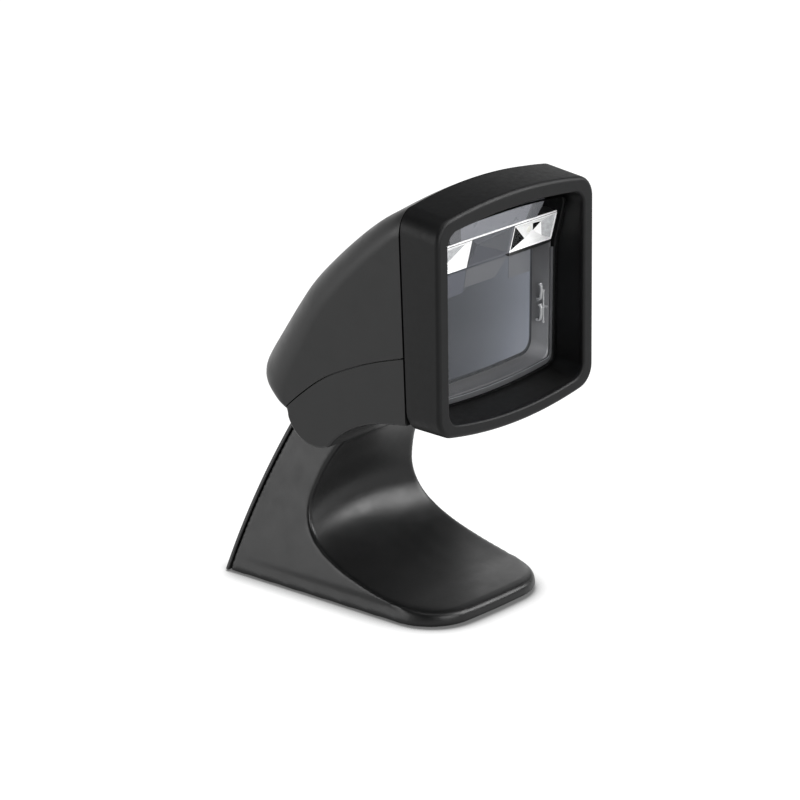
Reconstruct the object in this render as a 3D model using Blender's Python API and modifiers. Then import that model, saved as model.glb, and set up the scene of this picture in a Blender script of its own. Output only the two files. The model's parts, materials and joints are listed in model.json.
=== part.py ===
"""Presentation barcode scanner: a reading head that tilts on a weighted stand.

Units are metres, +Z is up and the window faces -Y. The origin is on the surface that the
feet stand on, under the middle of the object's box.
"""
import math

import bpy
import bmesh
from mathutils import Matrix, Vector

MM = 0.001
GAP = 0.3 * MM                       # clearance between pieces that meet

# Head
HEAD_WIDTH = 74.8 * MM               # flat cheek to flat cheek
WALL = 2.0 * MM                      # thickness of the upper shell
LOWER_WALL = 1.4 * MM                # thickness of the lower shell
HOOD_TOP = 142.2 * MM                # crown of the hood at its front face
HOOD_DRAFT = 1.4 * MM                # how much higher the crown is at the seam
HOOD_BOTTOM = 66.4 * MM
HOOD_RISE = 3.65 * MM                # how far the top edge bows up
HOOD_DROP = 4.3 * MM                 # how far the bottom edge bows down
HOOD_CORNER = 7.5 * MM
HOOD_ROUND = 1.5 * MM                # rounding of the hood's front edge
FRONT_Y = -48.9 * MM                 # front face at LEVEL_Z
SEAM_Y = -34.3 * MM                  # back face of the hood at LEVEL_Z
LEVEL_Z = 100.0 * MM
FRONT_LEAN = math.radians(1.0)
SEAM_LEAN = math.radians(2.7)
OPENING_WIDTH = 64.8 * MM
OPENING_TOP = 136.9 * MM
OPENING_BOTTOM = 70.7 * MM
OPENING_RISE = 2.3 * MM
OPENING_DROP = 3.3 * MM
OPENING_CORNER = 5.0 * MM
LIP = 1.6 * MM                       # depth of the hood's lip in front of the liner
LINER_WALL = 1.3 * MM

# Window and optics
GLASS_Y = -36.2 * MM                 # back face of the upright part of the window
GLASS = 1.2 * MM
KINK_Z = 115.0 * MM                  # above this the window leans forward
KINK = math.radians(14.0)

# Tilt pivot
PIVOT_Y = 3.8 * MM
PIVOT_Z = 67.4 * MM
BARREL_RADIUS = 12.0 * MM            # the lower shell's round belly about the pivot
PIN_RADIUS = 2.5 * MM
ARM_WIDTH = 14.0 * MM

# Stand
CHEEK_HALF = 31.7 * MM               # half width of the cheeks at the floor, at y = 0
CHEEK_LEAN = 0.235                   # inward lean per unit of height
CHEEK_SPLAY = 0.040                  # outward splay per unit towards the back
STAND_BACK = 48.4 * MM               # the rear face at the floor
BACK_SLOPE = 0.2225                  # how fast the rear face comes forward at the floor
BACK_RADIUS = 217.0 * MM             # its roundness
COVER = 1.9 * MM                     # rear cover thickness
COVER_GAP = 0.5 * MM

# Button
BUTTON_RADIUS = 5.0 * MM
BUTTON_TRAVEL = 0.8 * MM

PARTS = None
CUTTERS = None


# ---------------------------------------------------------------- helpers

def clear_scene():
    for obj in list(bpy.data.objects):
        bpy.data.objects.remove(obj, do_unlink=True)


def new_collection(name):
    collection = bpy.data.collections.new(name)
    bpy.context.scene.collection.children.link(collection)
    return collection


def material(name, color, roughness, metallic=0.0):
    """A Principled material, made once for each name."""
    found = bpy.data.materials.get(name)
    if found:
        return found
    made = bpy.data.materials.new(name)
    made.use_nodes = True
    shader = made.node_tree.nodes["Principled BSDF"]
    shader.inputs["Base Color"].default_value = (*color, 1.0)
    shader.inputs["Roughness"].default_value = roughness
    shader.inputs["Metallic"].default_value = metallic
    return made


def soft_charcoal():
    return material("soft_charcoal", (0.028, 0.028, 0.027), 0.62)


def satin_grey():
    return material("satin_grey", (0.045, 0.045, 0.043), 0.42)


def gloss_black():
    return material("gloss_black", (0.006, 0.006, 0.006), 0.12)


def tray_grey():
    return material("tray_grey", (0.16, 0.16, 0.17), 0.4)


def pale_grey():
    return material("pale_grey", (0.36, 0.36, 0.42), 0.35)


def clear_plastic():
    return material("clear_plastic", (0.9, 0.92, 0.93), 0.05)


def mirror_silver():
    return material("mirror_silver", (0.92, 0.92, 0.92), 0.06, 1.0)


def steel():
    return material("steel", (0.55, 0.55, 0.56), 0.35, 1.0)


def cast_grey():
    return material("cast_grey", (0.25, 0.25, 0.26), 0.55, 0.8)


def black_rubber():
    return material("black_rubber", (0.015, 0.015, 0.015), 0.85)


def board_green():
    return material("board_green", (0.02, 0.13, 0.05), 0.45)


def yellow_led():
    return material("led_resin", (0.85, 0.8, 0.5), 0.2)


def black_plastic():
    return material("black_plastic", (0.012, 0.012, 0.012), 0.4)


def add_object(name, mesh, finish=None, collection=None):
    obj = bpy.data.objects.new(name, mesh)
    (collection or PARTS).objects.link(obj)
    if finish:
        mesh.materials.append(finish)
    return obj


def smooth(obj, degrees=35):
    obj.data.shade_smooth()
    obj.data.set_sharp_from_angle(angle=math.radians(degrees))


def from_bmesh(name, bm, finish=None, collection=None):
    bmesh.ops.recalc_face_normals(bm, faces=bm.faces)
    mesh = bpy.data.meshes.new(name)
    bm.to_mesh(mesh)
    bm.free()
    return add_object(name, mesh, finish, collection)


def loft(name, rings, finish=None, collection=None, closed=False, capped=True):
    """Skin a list of equal closed rings; closed joins the last ring to the first."""
    bm = bmesh.new()
    rows = [[bm.verts.new(point) for point in ring] for ring in rings]
    count = len(rows[0])
    pairs = list(zip(rows, rows[1:]))
    if closed:
        pairs.append((rows[-1], rows[0]))
    for low, high in pairs:
        for k in range(count):
            n = (k + 1) % count
            bm.faces.new((low[k], low[n], high[n], high[k]))
    if capped and not closed:
        bm.faces.new(rows[0])
        bm.faces.new(rows[-1])
    return from_bmesh(name, bm, finish, collection)


def extrude_profile(name, profile, half, finish=None, collection=None, centre=0.0):
    """A (y, z) outline pulled along X, half to each side of centre."""
    left = [Vector((centre - half, y, z)) for y, z in profile]
    right = [Vector((centre + half, y, z)) for y, z in profile]
    return loft(name, [left, right], finish, collection)


def extrude_front(name, outline, front, back, finish=None, collection=None):
    """An (x, z) outline pulled along Y from front to back."""
    near = [Vector((x, front, z)) for x, z in outline]
    far = [Vector((x, back, z)) for x, z in outline]
    return loft(name, [near, far], finish, collection)


def box(name, size, centre, finish=None, collection=None, bevel=0.0, turn=None):
    bm = bmesh.new()
    bmesh.ops.create_cube(bm, size=1.0)
    bmesh.ops.scale(bm, vec=size, verts=bm.verts)
    obj = from_bmesh(name, bm, finish, collection)
    place(obj, centre, turn)
    if bevel:
        rounding = obj.modifiers.new("Rounding", 'BEVEL')
        rounding.width = bevel
        rounding.segments = 2
        rounding.use_clamp_overlap = True
    return obj


def place(obj, centre, turn=None):
    """Move an object's mesh to its place, turning it first."""
    matrix = Matrix.Translation(centre)
    if turn is not None:
        matrix = matrix @ turn.to_4x4()
    obj.matrix_world = matrix


def rod(name, radius, start, end, finish=None, collection=None, segments=20):
    """A round bar between two points."""
    start = Vector(start)
    end = Vector(end)
    run = end - start
    bm = bmesh.new()
    bmesh.ops.create_cone(bm, cap_ends=True, segments=segments, radius1=radius, radius2=radius,
                          depth=run.length)
    obj = from_bmesh(name, bm, finish, collection)
    place(obj, (start + end) / 2, run.to_track_quat('Z', 'Y').to_matrix())
    smooth(obj)
    return obj


def turned(name, profile, start, axis, finish=None, collection=None, segments=20):
    """Turn a closed (radius, height) profile about the axis through start."""
    turn = Vector(axis).normalized().to_track_quat('Z', 'Y').to_matrix()
    rings = []
    for k in range(segments):
        angle = 2 * math.pi * k / segments
        ring = [Vector(start) + turn @ Vector((r * math.cos(angle), r * math.sin(angle), h))
                for r, h in profile]
        rings.append(ring)
    obj = loft(name, rings, finish, collection, closed=True)
    smooth(obj)
    return obj


def stepped_rod(name, steps, start, axis, finish, segments=16):
    """Coaxial round steps, (radius, height) from the start outwards, as one closed body."""
    turn = Vector(axis).normalized().to_track_quat('Z', 'Y').to_matrix()
    rings = []
    for radius, height in steps:
        ring = []
        for k in range(segments):
            angle = 2 * math.pi * k / segments
            local = Vector((radius * math.cos(angle), radius * math.sin(angle), height))
            ring.append(Vector(start) + turn @ local)
        rings.append(ring)
    obj = loft(name, rings, finish)
    smooth(obj)
    return obj


def as_cutter(obj):
    for collection in list(obj.users_collection):
        collection.objects.unlink(obj)
    CUTTERS.objects.link(obj)
    obj.hide_render = True
    obj.display_type = 'WIRE'
    return obj


def boolean(target, tool, operation='DIFFERENCE', folded=False):
    """Cut or keep by a tool; folded is for a thin skin whose inside may touch itself."""
    step = target.modifiers.new(operation.title() + " " + tool.name, 'BOOLEAN')
    step.operation = operation
    step.use_self = folded
    step.object = as_cutter(tool)
    return target


def spline(points, steps):
    """Catmull-Rom curve through points of any dimension, steps to each span."""
    last = len(points) - 1
    out = []
    for i in range(last):
        p1, p2 = points[i], points[i + 1]
        p0 = points[i - 1] if i else [2 * a - b for a, b in zip(p1, p2)]
        p3 = points[i + 2] if i + 2 <= last else [2 * b - a for a, b in zip(p1, p2)]
        for k in range(steps):
            t = k / steps
            out.append([0.5 * (2 * b + (c - a) * t + (2 * a - 5 * b + 4 * c - d) * t ** 2
                               + (3 * b - a - 3 * c + d) * t ** 3)
                        for a, b, c, d in zip(p0, p1, p2, p3)])
    out.append(list(points[-1]))
    return out


def front_y(z):
    return FRONT_Y + (z - LEVEL_Z) * math.tan(FRONT_LEAN)


def seam_y(z):
    return SEAM_Y + (z - LEVEL_Z) * math.tan(SEAM_LEAN)


def bowed_outline(width, top, bottom, rise, drop, corner, inset=0.0, edge_steps=6, corner_steps=5):
    """Rounded rectangle in (x, z) whose top bows up and whose bottom bows down."""
    half = width / 2 - inset
    radius = max(corner - inset, 0.4 * MM)

    def side(level, bow, up):
        curve = bow / (width / 2) ** 2
        lean = math.atan(2 * curve * (half - radius))
        touch = half - radius + radius * math.sin(lean)
        centre = level - up * (inset + curve * touch ** 2 + radius * math.cos(lean))
        points = []
        for k in range(edge_steps):
            x = touch * k / edge_steps
            points.append((x, level - up * (inset + curve * x ** 2)))
        for k in range(corner_steps + 1):
            angle = lean + (math.pi / 2 - lean) * k / corner_steps
            points.append((half - radius + radius * math.sin(angle),
                           centre + up * radius * math.cos(angle)))
        return points

    right = side(top, rise, 1) + side(bottom, drop, -1)[::-1]
    left = [(-x, z) for x, z in reversed(right[1:-1])]
    return right + left


def hood_outline(inset=0.0, draft=0.0):
    return bowed_outline(HEAD_WIDTH, HOOD_TOP + draft, HOOD_BOTTOM, HOOD_RISE, HOOD_DROP, HOOD_CORNER,
                         inset)


def opening_outline(inset=0.0):
    return bowed_outline(OPENING_WIDTH, OPENING_TOP, OPENING_BOTTOM, OPENING_RISE, OPENING_DROP,
                         OPENING_CORNER, inset)


def leaning(x, along, behind):
    """A point on the leaning plane of the window's upper part: up it, and behind it."""
    y = GLASS_Y - along * math.sin(KINK) + behind * math.cos(KINK)
    z = KINK_Z + along * math.cos(KINK) + behind * math.sin(KINK)
    return Vector((x, y, z))


# ---------------------------------------------------------------- head housing

# The head is one skin of sections across X. Each station has the crown line (y, z), the line
# where the flat cheek begins (y, z), the width of the rounding between them and the bow
# across the crown, all in millimetres, from the top of the hood seam round the back.
CROWN_STATIONS = [
    (-34.0, 144.5, -34.0, 132.6, 7.0, 4.3),
    (-27.5, 141.2, -29.7, 130.4, 7.4, 3.8),
    (-19.2, 135.8, -24.9, 126.3, 8.2, 3.2),
    (-10.0, 128.4, -17.4, 119.6, 9.5, 2.6),
    (0.3, 119.4, -8.2, 110.4, 11.0, 2.4),
    (10.4, 109.6, 0.5, 100.2, 12.8, 2.2),
    (18.3, 100.0, 6.7, 90.0, 14.8, 2.0),
    (26.2, 89.4, 12.1, 80.4, 16.8, 1.8),
    (32.2, 80.9, 15.2, 74.3, 18.0, 1.5),
    (34.3, 76.2, 16.2, 71.4, 17.5, 1.2),
    (32.6, 72.4, 16.5, 69.4, 14.5, 0.9),
    (27.2, 69.0, 16.6, 68.0, 10.5, 0.6),
    (21.0, 66.2, 16.3, 67.0, 6.0, 0.3),
    (15.7, 64.8, 13.9, 65.8, 2.4, 0.0),
]
BARREL_FROM = math.radians(-20)
BARREL_TO = math.radians(-112)
FILLET = 1.5                         # rounding of the lower shell's long edges
# The belly's rise from the barrel forward to the hood, (y, z).
BELLY_STATIONS = [(-2.6, 56.9), (-5.8, 60.2), (-10.0, 63.6), (-15.5, 66.7), (-24.0, 69.7),
                  (-36.5, 72.0)]
# The parting line between the upper and lower shells on the flat cheeks, (y, z).
PARTING_STATIONS = [(-44.0, 96.5), (-34.1, 93.6), (-20.4, 89.0), (-7.7, 83.3), (0.9, 78.4),
                    (9.6, 71.6), (15.8, 65.9), (20.5, 60.5)]


def belly_sections():
    """The barrel's arc and the belly in front of it, as stations like the crown's."""
    rows = []
    centre = (PIVOT_Y / MM, PIVOT_Z / MM)
    radius = BARREL_RADIUS / MM
    steps = 9
    for k in range(steps + 1):
        angle = BARREL_FROM + (BARREL_TO - BARREL_FROM) * k / steps
        rows.append((centre[0] + radius * math.cos(angle), centre[1] + radius * math.sin(angle),
                     centre[0] + (radius - FILLET) * math.cos(angle),
                     centre[1] + (radius - FILLET) * math.sin(angle), FILLET, 0.0))
    belly = spline([rows[-1][:2]] + BELLY_STATIONS, 3)[1:]
    for k, (y, z) in enumerate(belly):
        before = belly[max(k - 1, 0)]
        after = belly[min(k + 1, len(belly) - 1)]
        run = math.hypot(after[0] - before[0], after[1] - before[1])
        inward = ((after[1] - before[1]) / run, -(after[0] - before[0]) / run)
        rows.append((y, z, y + FILLET * inward[0], z + FILLET * inward[1], FILLET, 0.0))
    return rows


def head_section(station, arc_steps=5, crown_steps=2):
    """One section of the head's skin, from cheek to cheek."""
    crown_y, crown_z, cheek_y, cheek_z, rounding, bow = [v * MM for v in station]
    half = HEAD_WIDTH / 2
    away = Vector((0, crown_y - cheek_y, crown_z - cheek_z)).normalized()
    crown = Vector((0, crown_y, crown_z))
    flat = half - rounding
    shoulder = crown - away * bow * (flat / half) ** 2
    reach = shoulder - Vector((0, cheek_y, cheek_z))
    right = []
    for k in range(arc_steps + 1):
        angle = math.pi / 2 * k / arc_steps
        right.append(shoulder - reach * (1 - math.sin(angle))
                     + Vector((flat + rounding * math.cos(angle), 0, 0)))
    for k in range(1, crown_steps + 1):
        x = flat * (1 - k / crown_steps)
        right.append(crown - away * bow * (x / half) ** 2 + Vector((x, 0, 0)))
    left = [Vector((-p.x, p.y, p.z)) for p in reversed(right[:-1])]
    return right + left


def head_skin(name, thickness):
    """The whole housing behind the hood, hollow and open at the hood seam."""
    stations = spline(CROWN_STATIONS, 3) + belly_sections()
    sections = [head_section(station) for station in stations]
    for section in (sections[0], sections[-1]):
        for point in section:
            point.y = seam_y(point.z)
    bm = bmesh.new()
    rows = [[bm.verts.new(point) for point in section] for section in sections]
    for low, high in zip(rows, rows[1:]):
        for k in range(len(low) - 1):
            bm.faces.new((low[k], low[k + 1], high[k + 1], high[k]))
    for side in (0, -1):
        bm.faces.new([row[side] for row in rows])
    bmesh.ops.recalc_face_normals(bm, faces=bm.faces)
    skin = from_bmesh(name, bm, satin_grey())
    wall = skin.modifiers.new("Wall", 'SOLIDIFY')
    wall.thickness = thickness
    wall.offset = -1.0
    wall.use_even_offset = True
    return skin


def parting_prism(name, lift):
    """Everything below the parting line, moved up by lift."""
    line = [(y * MM, z * MM + lift) for y, z in spline(PARTING_STATIONS, 4)]
    floor = 45 * MM
    outline = [(line[0][0], floor)] + line + [(line[-1][0], floor)]
    return extrude_profile(name, outline, HEAD_WIDTH / 2 + 6 * MM)


def seam_trimmer(name):
    """Everything in front of the hood seam, with the gap behind it."""
    low, high = 40 * MM, 150 * MM
    outline = [(-60 * MM, low), (seam_y(low) + GAP, low), (seam_y(high) + GAP, high),
               (-60 * MM, high)]
    return extrude_profile(name, outline, HEAD_WIDTH)


def button_frame():
    """Centre of the button on the crown, and the outward direction there."""
    y, z = CROWN_STATIONS[3][0] * MM, CROWN_STATIONS[3][1] * MM
    before = CROWN_STATIONS[2]
    after = CROWN_STATIONS[4]
    run = Vector((0, after[0] - before[0], after[1] - before[1])).normalized()
    return Vector((0, y, z)), Vector((0, -run.z, run.y))


def upper_shell():
    shell = head_skin("upper_shell", WALL)
    boolean(shell, parting_prism("below_parting", 0.25 * MM), folded=True)
    boolean(shell, seam_trimmer("hood_seam_upper"))
    spot, outward = button_frame()
    hole = rod("button_hole", BUTTON_RADIUS + GAP, spot - outward * 5 * MM, spot + outward * 4 * MM,
               segments=28)
    boolean(shell, hole)
    socket = box("jack_window", (13.6 * MM, 9.6 * MM, 14 * MM), (0, 26.0 * MM, 68 * MM))
    boolean(shell, socket)
    smooth(shell)
    return shell


def lower_shell():
    shell = head_skin("lower_shell", LOWER_WALL)
    boolean(shell, parting_prism("above_parting", -0.25 * MM), 'INTERSECT', folded=True)
    boolean(shell, seam_trimmer("hood_seam_lower"))
    slot = box("arm_slot", (ARM_WIDTH + 1.4 * MM, 11.4 * MM, 18 * MM), (0, 8.7 * MM, 59 * MM))
    boolean(shell, slot)
    for k, (x, y) in enumerate(SCREW_SPOTS):
        hole = rod("screw_hole_%d" % (k + 1), 2.9 * MM, (x, y, 50 * MM), (x, y, 78 * MM))
        boolean(shell, hole)
    smooth(shell)
    return shell


SCREW_SPOTS = [(-25 * MM, -25 * MM), (25 * MM, -25 * MM), (-25 * MM, 2 * MM), (25 * MM, 2 * MM)]
SCREW_SEATS = [71.0 * MM, 71.0 * MM, 56.4 * MM, 56.4 * MM]


def shell_screws():
    screws = []
    for k, ((x, y), seat) in enumerate(zip(SCREW_SPOTS, SCREW_SEATS)):
        steps = [(1.4 * MM, 0), (2.5 * MM, 0.3 * MM), (2.5 * MM, 1.6 * MM), (1.2 * MM, 1.6 * MM),
                 (1.2 * MM, 9 * MM)]
        screws.append(stepped_rod("shell_screw_%d" % (k + 1), steps, (x, y, seat), (0, 0, 1),
                                  steel(), 12))
    return screws


# ---------------------------------------------------------------- hood and window

def hood_ring(outline, y_of_z, shift=0.0):
    return [Vector((x, y_of_z(z) + shift, z)) for x, z in outline]


def bezel():
    """The hood: rounded outside, lipped inside so that the liner rests behind the lip."""
    rings = [hood_ring(hood_outline(draft=HOOD_DRAFT), seam_y, -GAP)]
    for k in range(4):
        angle = math.pi / 2 * k / 3
        inset = HOOD_ROUND * (1 - math.cos(angle))
        rings.append(hood_ring(hood_outline(inset), front_y, HOOD_ROUND * (1 - math.sin(angle))))
    rounding = 0.7 * MM
    for k in range(3):
        angle = math.pi / 2 * k / 2
        rings.append(hood_ring(opening_outline(-rounding * (1 - math.sin(angle))), front_y,
                               rounding * (1 - math.cos(angle))))
    recess = -LINER_WALL - GAP
    rings.append(hood_ring(opening_outline(), front_y, LIP))
    rings.append(hood_ring(opening_outline(recess), front_y, LIP))
    rings.append(hood_ring(opening_outline(recess), seam_y, -GAP))
    hood = loft("bezel", rings, soft_charcoal(), closed=True)
    smooth(hood)
    return hood


def window_frame():
    """The gloss liner, whose floor rises towards the back."""
    outer = opening_outline(-LINER_WALL)
    rise = 2.2 * MM
    inner_back = bowed_outline(OPENING_WIDTH + 0.8 * MM, OPENING_TOP - 1.2 * MM,
                               OPENING_BOTTOM + rise, OPENING_RISE, OPENING_DROP - 0.9 * MM,
                               OPENING_CORNER)
    inner_front = opening_outline(-0.3 * MM)
    rings = [hood_ring(outer, seam_y, -0.7 * MM), hood_ring(outer, front_y, LIP + GAP),
             hood_ring(inner_front, front_y, LIP + GAP), hood_ring(inner_back, seam_y, -0.7 * MM)]
    liner = loft("window_frame", rings, gloss_black(), closed=True)
    smooth(liner)
    return liner


def window_outline(inset):
    """The clear opening behind the liner, in (x, z)."""
    return bowed_outline(OPENING_WIDTH, OPENING_TOP - 2.6 * MM, OPENING_BOTTOM + 2.9 * MM,
                         OPENING_RISE, OPENING_DROP - 0.9 * MM, OPENING_CORNER, inset)


def front_window():
    """A clear sheet, upright below the kink and leaning forward above it."""
    low = 72 * MM
    tall = 22 * MM
    back = [(GLASS_Y, low), (GLASS_Y, KINK_Z), tuple(leaning(0, tall, 0))[1:]]
    front = [(GLASS_Y - GLASS, low), (GLASS_Y - GLASS, KINK_Z + GLASS * math.tan(KINK / 2)),
             tuple(leaning(0, tall, -GLASS))[1:]]
    sheet = extrude_profile("front_window", back + front[::-1], OPENING_WIDTH / 2, clear_plastic())
    outline = window_outline(0.4 * MM)
    boolean(sheet, extrude_front("window_blank", outline, -60 * MM, -20 * MM), 'INTERSECT')
    return sheet


def window_gasket():
    """A thin seal round the upright part of the window, behind it."""
    front, back = GLASS_Y + GAP, GLASS_Y + 0.9 * MM
    top = KINK_Z - 1.0 * MM
    seal = extrude_front("window_gasket", window_outline(0.5 * MM), front, back, black_rubber())
    inside = extrude_front("gasket_opening", window_outline(1.5 * MM), front - 1 * MM, back + 1 * MM)
    boolean(seal, inside)
    over = box("gasket_top", (80 * MM, 10 * MM, 40 * MM), (0, front, top + 20 * MM))
    boolean(seal, over)
    return seal


# ---------------------------------------------------------------- inside the head

TRAY_FRONT = -35.0 * MM
TRAY_FLOOR = -29.0 * MM
TRAY_BACK = -26.5 * MM
TRAY_BOTTOM = 76.0 * MM
TRAY_TOP = 115.6 * MM


def tray_outline(half, bottom, corner):
    return bowed_outline(2 * half, TRAY_TOP, bottom, 0.0, 0.8 * MM, corner)


def optical_chassis():
    """The tray behind the window: splayed walls, a flat floor and a hole for the camera."""
    outer = tray_outline(32.3 * MM, TRAY_BOTTOM - 1.4 * MM, 5 * MM)
    tray = extrude_front("optical_chassis", outer, TRAY_FRONT, TRAY_BACK, tray_grey())
    mouth = tray_outline(31.6 * MM, TRAY_BOTTOM, 4.5 * MM)
    throat = tray_outline(30.2 * MM, TRAY_BOTTOM + 0.8 * MM, 5.5 * MM)
    top = 6 * MM
    near = [Vector((x, TRAY_FRONT - 1 * MM, z if z < TRAY_TOP - 5 * MM else z + top))
            for x, z in mouth]
    far = [Vector((x, TRAY_FLOOR, z if z < TRAY_TOP - 5 * MM else z + top)) for x, z in throat]
    boolean(tray, loft("tray_pocket", [near, far]))
    boolean(tray, rod("camera_hole", 6.6 * MM, (0, -32 * MM, 96 * MM), (0, -22 * MM, 96 * MM)))
    return tray


def inner_window():
    outline = tray_outline(29.7 * MM, TRAY_BOTTOM + 1.2 * MM, 5.0 * MM)
    return extrude_front("inner_window", outline, TRAY_FLOOR - 1.5 * MM, TRAY_FLOOR - GAP,
                         gloss_black())


LAMP_LOW = 2.0 * MM                  # the reflectors' span, measured up the leaning plane
LAMP_HIGH = 11.6 * MM
LAMP_INNER = 10.2 * MM
LAMP_OUTER = 30.8 * MM
LAMP_DEPTH = 5.0 * MM


def facet_cup(name, left, right, finish):
    """A block behind the leaning plane with a pyramid recess in its face."""
    gap = GAP
    front = [leaning(left, LAMP_LOW, gap), leaning(right, LAMP_LOW, gap),
             leaning(right, LAMP_HIGH, gap), leaning(left, LAMP_HIGH, gap)]
    middle = sum(front, Vector()) / 4
    behind = leaning(0, 0, LAMP_DEPTH) - leaning(0, 0, 0)
    back = [p + behind for p in front]
    rim = [middle + (p - middle) * 0.94 for p in front]
    cup = [middle + (p - middle) * 0.34 + behind * 0.72 for p in front]
    return loft(name, [back, front, rim, cup], finish)


def lamps():
    """Both reflectors, the faceted recess between them and the emitters behind."""
    facet_cup("reflector_right", LAMP_INNER, LAMP_OUTER, mirror_silver())
    facet_cup("reflector_left", -LAMP_OUTER, -LAMP_INNER, mirror_silver())
    facet_cup("center_baffle", -LAMP_INNER + GAP, LAMP_INNER - GAP, tray_grey())
    reach = (LAMP_INNER + LAMP_OUTER) / 2
    up = (LAMP_LOW + LAMP_HIGH) / 2
    outward = leaning(0, 0, -1) - leaning(0, 0, 0)
    for name, x in (("led_right", reach), ("led_left", -reach)):
        steps = [(1.6 * MM, 0), (1.6 * MM, 0.7 * MM), (1.2 * MM, 1.2 * MM), (0.5 * MM, 1.45 * MM)]
        stepped_rod(name, steps, leaning(x, up, LAMP_DEPTH * 0.72 - 0.1 * MM), outward,
                    yellow_led(), 14)


def hood_panel():
    """The pale trapezoid above the reflectors, and its dark ends."""
    low, high = LAMP_HIGH + GAP, LAMP_HIGH + 6.4 * MM
    narrow, wide = 20.6 * MM, 23.2 * MM
    rings = []
    for behind in (GAP, 1.8 * MM):
        rings.append([leaning(-narrow, low, behind), leaning(narrow, low, behind),
                      leaning(wide, high, behind), leaning(-wide, high, behind)])
    return loft("hood_panel", rings, pale_grey())


def led_board():
    start = LAMP_DEPTH + 2 * GAP
    rings = []
    for behind in (start, start + 1.2 * MM):
        rings.append([leaning(-30 * MM, 2 * MM, behind), leaning(30 * MM, 2 * MM, behind),
                      leaning(30 * MM, 14 * MM, behind), leaning(-30 * MM, 14 * MM, behind)])
    return loft("led_board", rings, board_green())


def light_pipe(name, low):
    """A small clear hook on the tray's right wall."""
    x = 29.8 * MM
    y = -32.6 * MM
    points = [(x, y + 1.2 * MM, low), (x, y - 0.4 * MM, low + 0.3 * MM),
              (x, y - 0.9 * MM, low + 2.0 * MM), (x, y - 0.9 * MM, low + 4.4 * MM),
              (x, y - 0.2 * MM, low + 5.6 * MM)]
    curve = bpy.data.curves.new(name, 'CURVE')
    curve.dimensions = '3D'
    curve.bevel_depth = 0.45 * MM
    curve.bevel_resolution = 2
    curve.use_fill_caps = True
    track = curve.splines.new('POLY')
    track.points.add(len(points) - 1)
    for point, place_at in zip(track.points, points):
        point.co = (*place_at, 1.0)
    obj = bpy.data.objects.new(name, curve)
    PARTS.objects.link(obj)
    curve.materials.append(clear_plastic())
    return obj


def camera():
    centre = 96 * MM
    barrel = [(6.2 * MM, 0), (6.2 * MM, 13 * MM), (4.6 * MM, 13 * MM), (4.6 * MM, 0)]
    turned("camera_barrel", barrel, (0, -14 * MM, centre), (0, -1, 0), black_plastic())
    steps = [(4.2 * MM, 0), (4.2 * MM, 2.4 * MM), (2.6 * MM, 3.0 * MM), (0.8 * MM, 3.2 * MM)]
    stepped_rod("camera_lens", steps, (0, -22 * MM, centre), (0, -1, 0), clear_plastic(), 18)
    box("sensor_board", (26 * MM, 1.4 * MM, 22 * MM), (0, -12.6 * MM, centre), board_green())


def electronics():
    box("main_board", (50 * MM, 1.6 * MM, 26 * MM), (0, -4 * MM, 95 * MM), board_green())
    steps = [(6 * MM, 0), (6 * MM, 4.5 * MM), (5.4 * MM, 5 * MM), (1.2 * MM, 5 * MM)]
    stepped_rod("beeper", steps, (-16 * MM, -2.6 * MM, 98 * MM), (0, 1, 0), black_plastic(), 20)
    jack = box("cable_jack", (12.4 * MM, 8.4 * MM, 8.4 * MM), (0, 26 * MM, 75.0 * MM), black_plastic())
    boolean(jack, box("jack_socket", (9.6 * MM, 5.6 * MM, 14 * MM), (0, 26 * MM, 70.6 * MM)))


# ---------------------------------------------------------------- tilt pivot

def hinge_bracket():
    """A steel U: two ears on the pin, joined above it, with feet on the belly's floor."""
    inner = ARM_WIDTH / 2 + 1.5 * MM
    thick = 1.6 * MM
    top = PIVOT_Z + 9.0 * MM
    ear_half = 5.0 * MM
    bracket = box("hinge_bracket", (2 * (inner + thick), 2 * ear_half, top - PIVOT_Z + 5.0 * MM),
                  (0, PIVOT_Y, (top + PIVOT_Z - 5.0 * MM) / 2), steel())
    hollow = box("bracket_hollow", (2 * inner, 20 * MM, top - thick - PIVOT_Z + 15 * MM),
                 (0, PIVOT_Y, (top - thick + PIVOT_Z - 15 * MM) / 2))
    boolean(bracket, hollow)
    bore = rod("bracket_bore", PIN_RADIUS + GAP, (-30 * MM, PIVOT_Y, PIVOT_Z),
               (30 * MM, PIVOT_Y, PIVOT_Z), segments=24)
    boolean(bracket, bore)
    return bracket


# The arm's leg from the eye down, as its rear and front edges (y, z) in millimetres.
ARM_BACK = [(11.9, 58.4), (13.6, 55.2), (19.4, 48.4), (26.6, 38.6), (31.0, 24.0)]
ARM_FRONT = [(7.6, 56.4), (8.6, 54.2), (14.8, 47.6), (21.4, 38.0), (25.2, 24.0)]


def pivot_arm():
    """The cast arm: an eye on the pin, a bent leg down the neck and a foot on the ballast."""
    eye = 6.2 * MM
    eye_points = []
    for k in range(15):
        angle = math.radians(270 - 290 * k / 14)
        eye_points.append((PIVOT_Y + eye * math.cos(angle), PIVOT_Z + eye * math.sin(angle)))
    foot = [(31.0, 12.0), (38.0, 12.0), (38.0, 9.0), (14.0, 9.0), (14.0, 12.0), (25.2, 12.0)]
    outline = eye_points + [(y * MM, z * MM) for y, z in ARM_BACK + foot + ARM_FRONT[::-1]]
    arm = extrude_profile("pivot_arm", outline, ARM_WIDTH / 2, cast_grey())
    bore = rod("arm_bore", PIN_RADIUS + GAP, (-30 * MM, PIVOT_Y, PIVOT_Z),
               (30 * MM, PIVOT_Y, PIVOT_Z), segments=24)
    boolean(arm, bore)
    return arm


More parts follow.
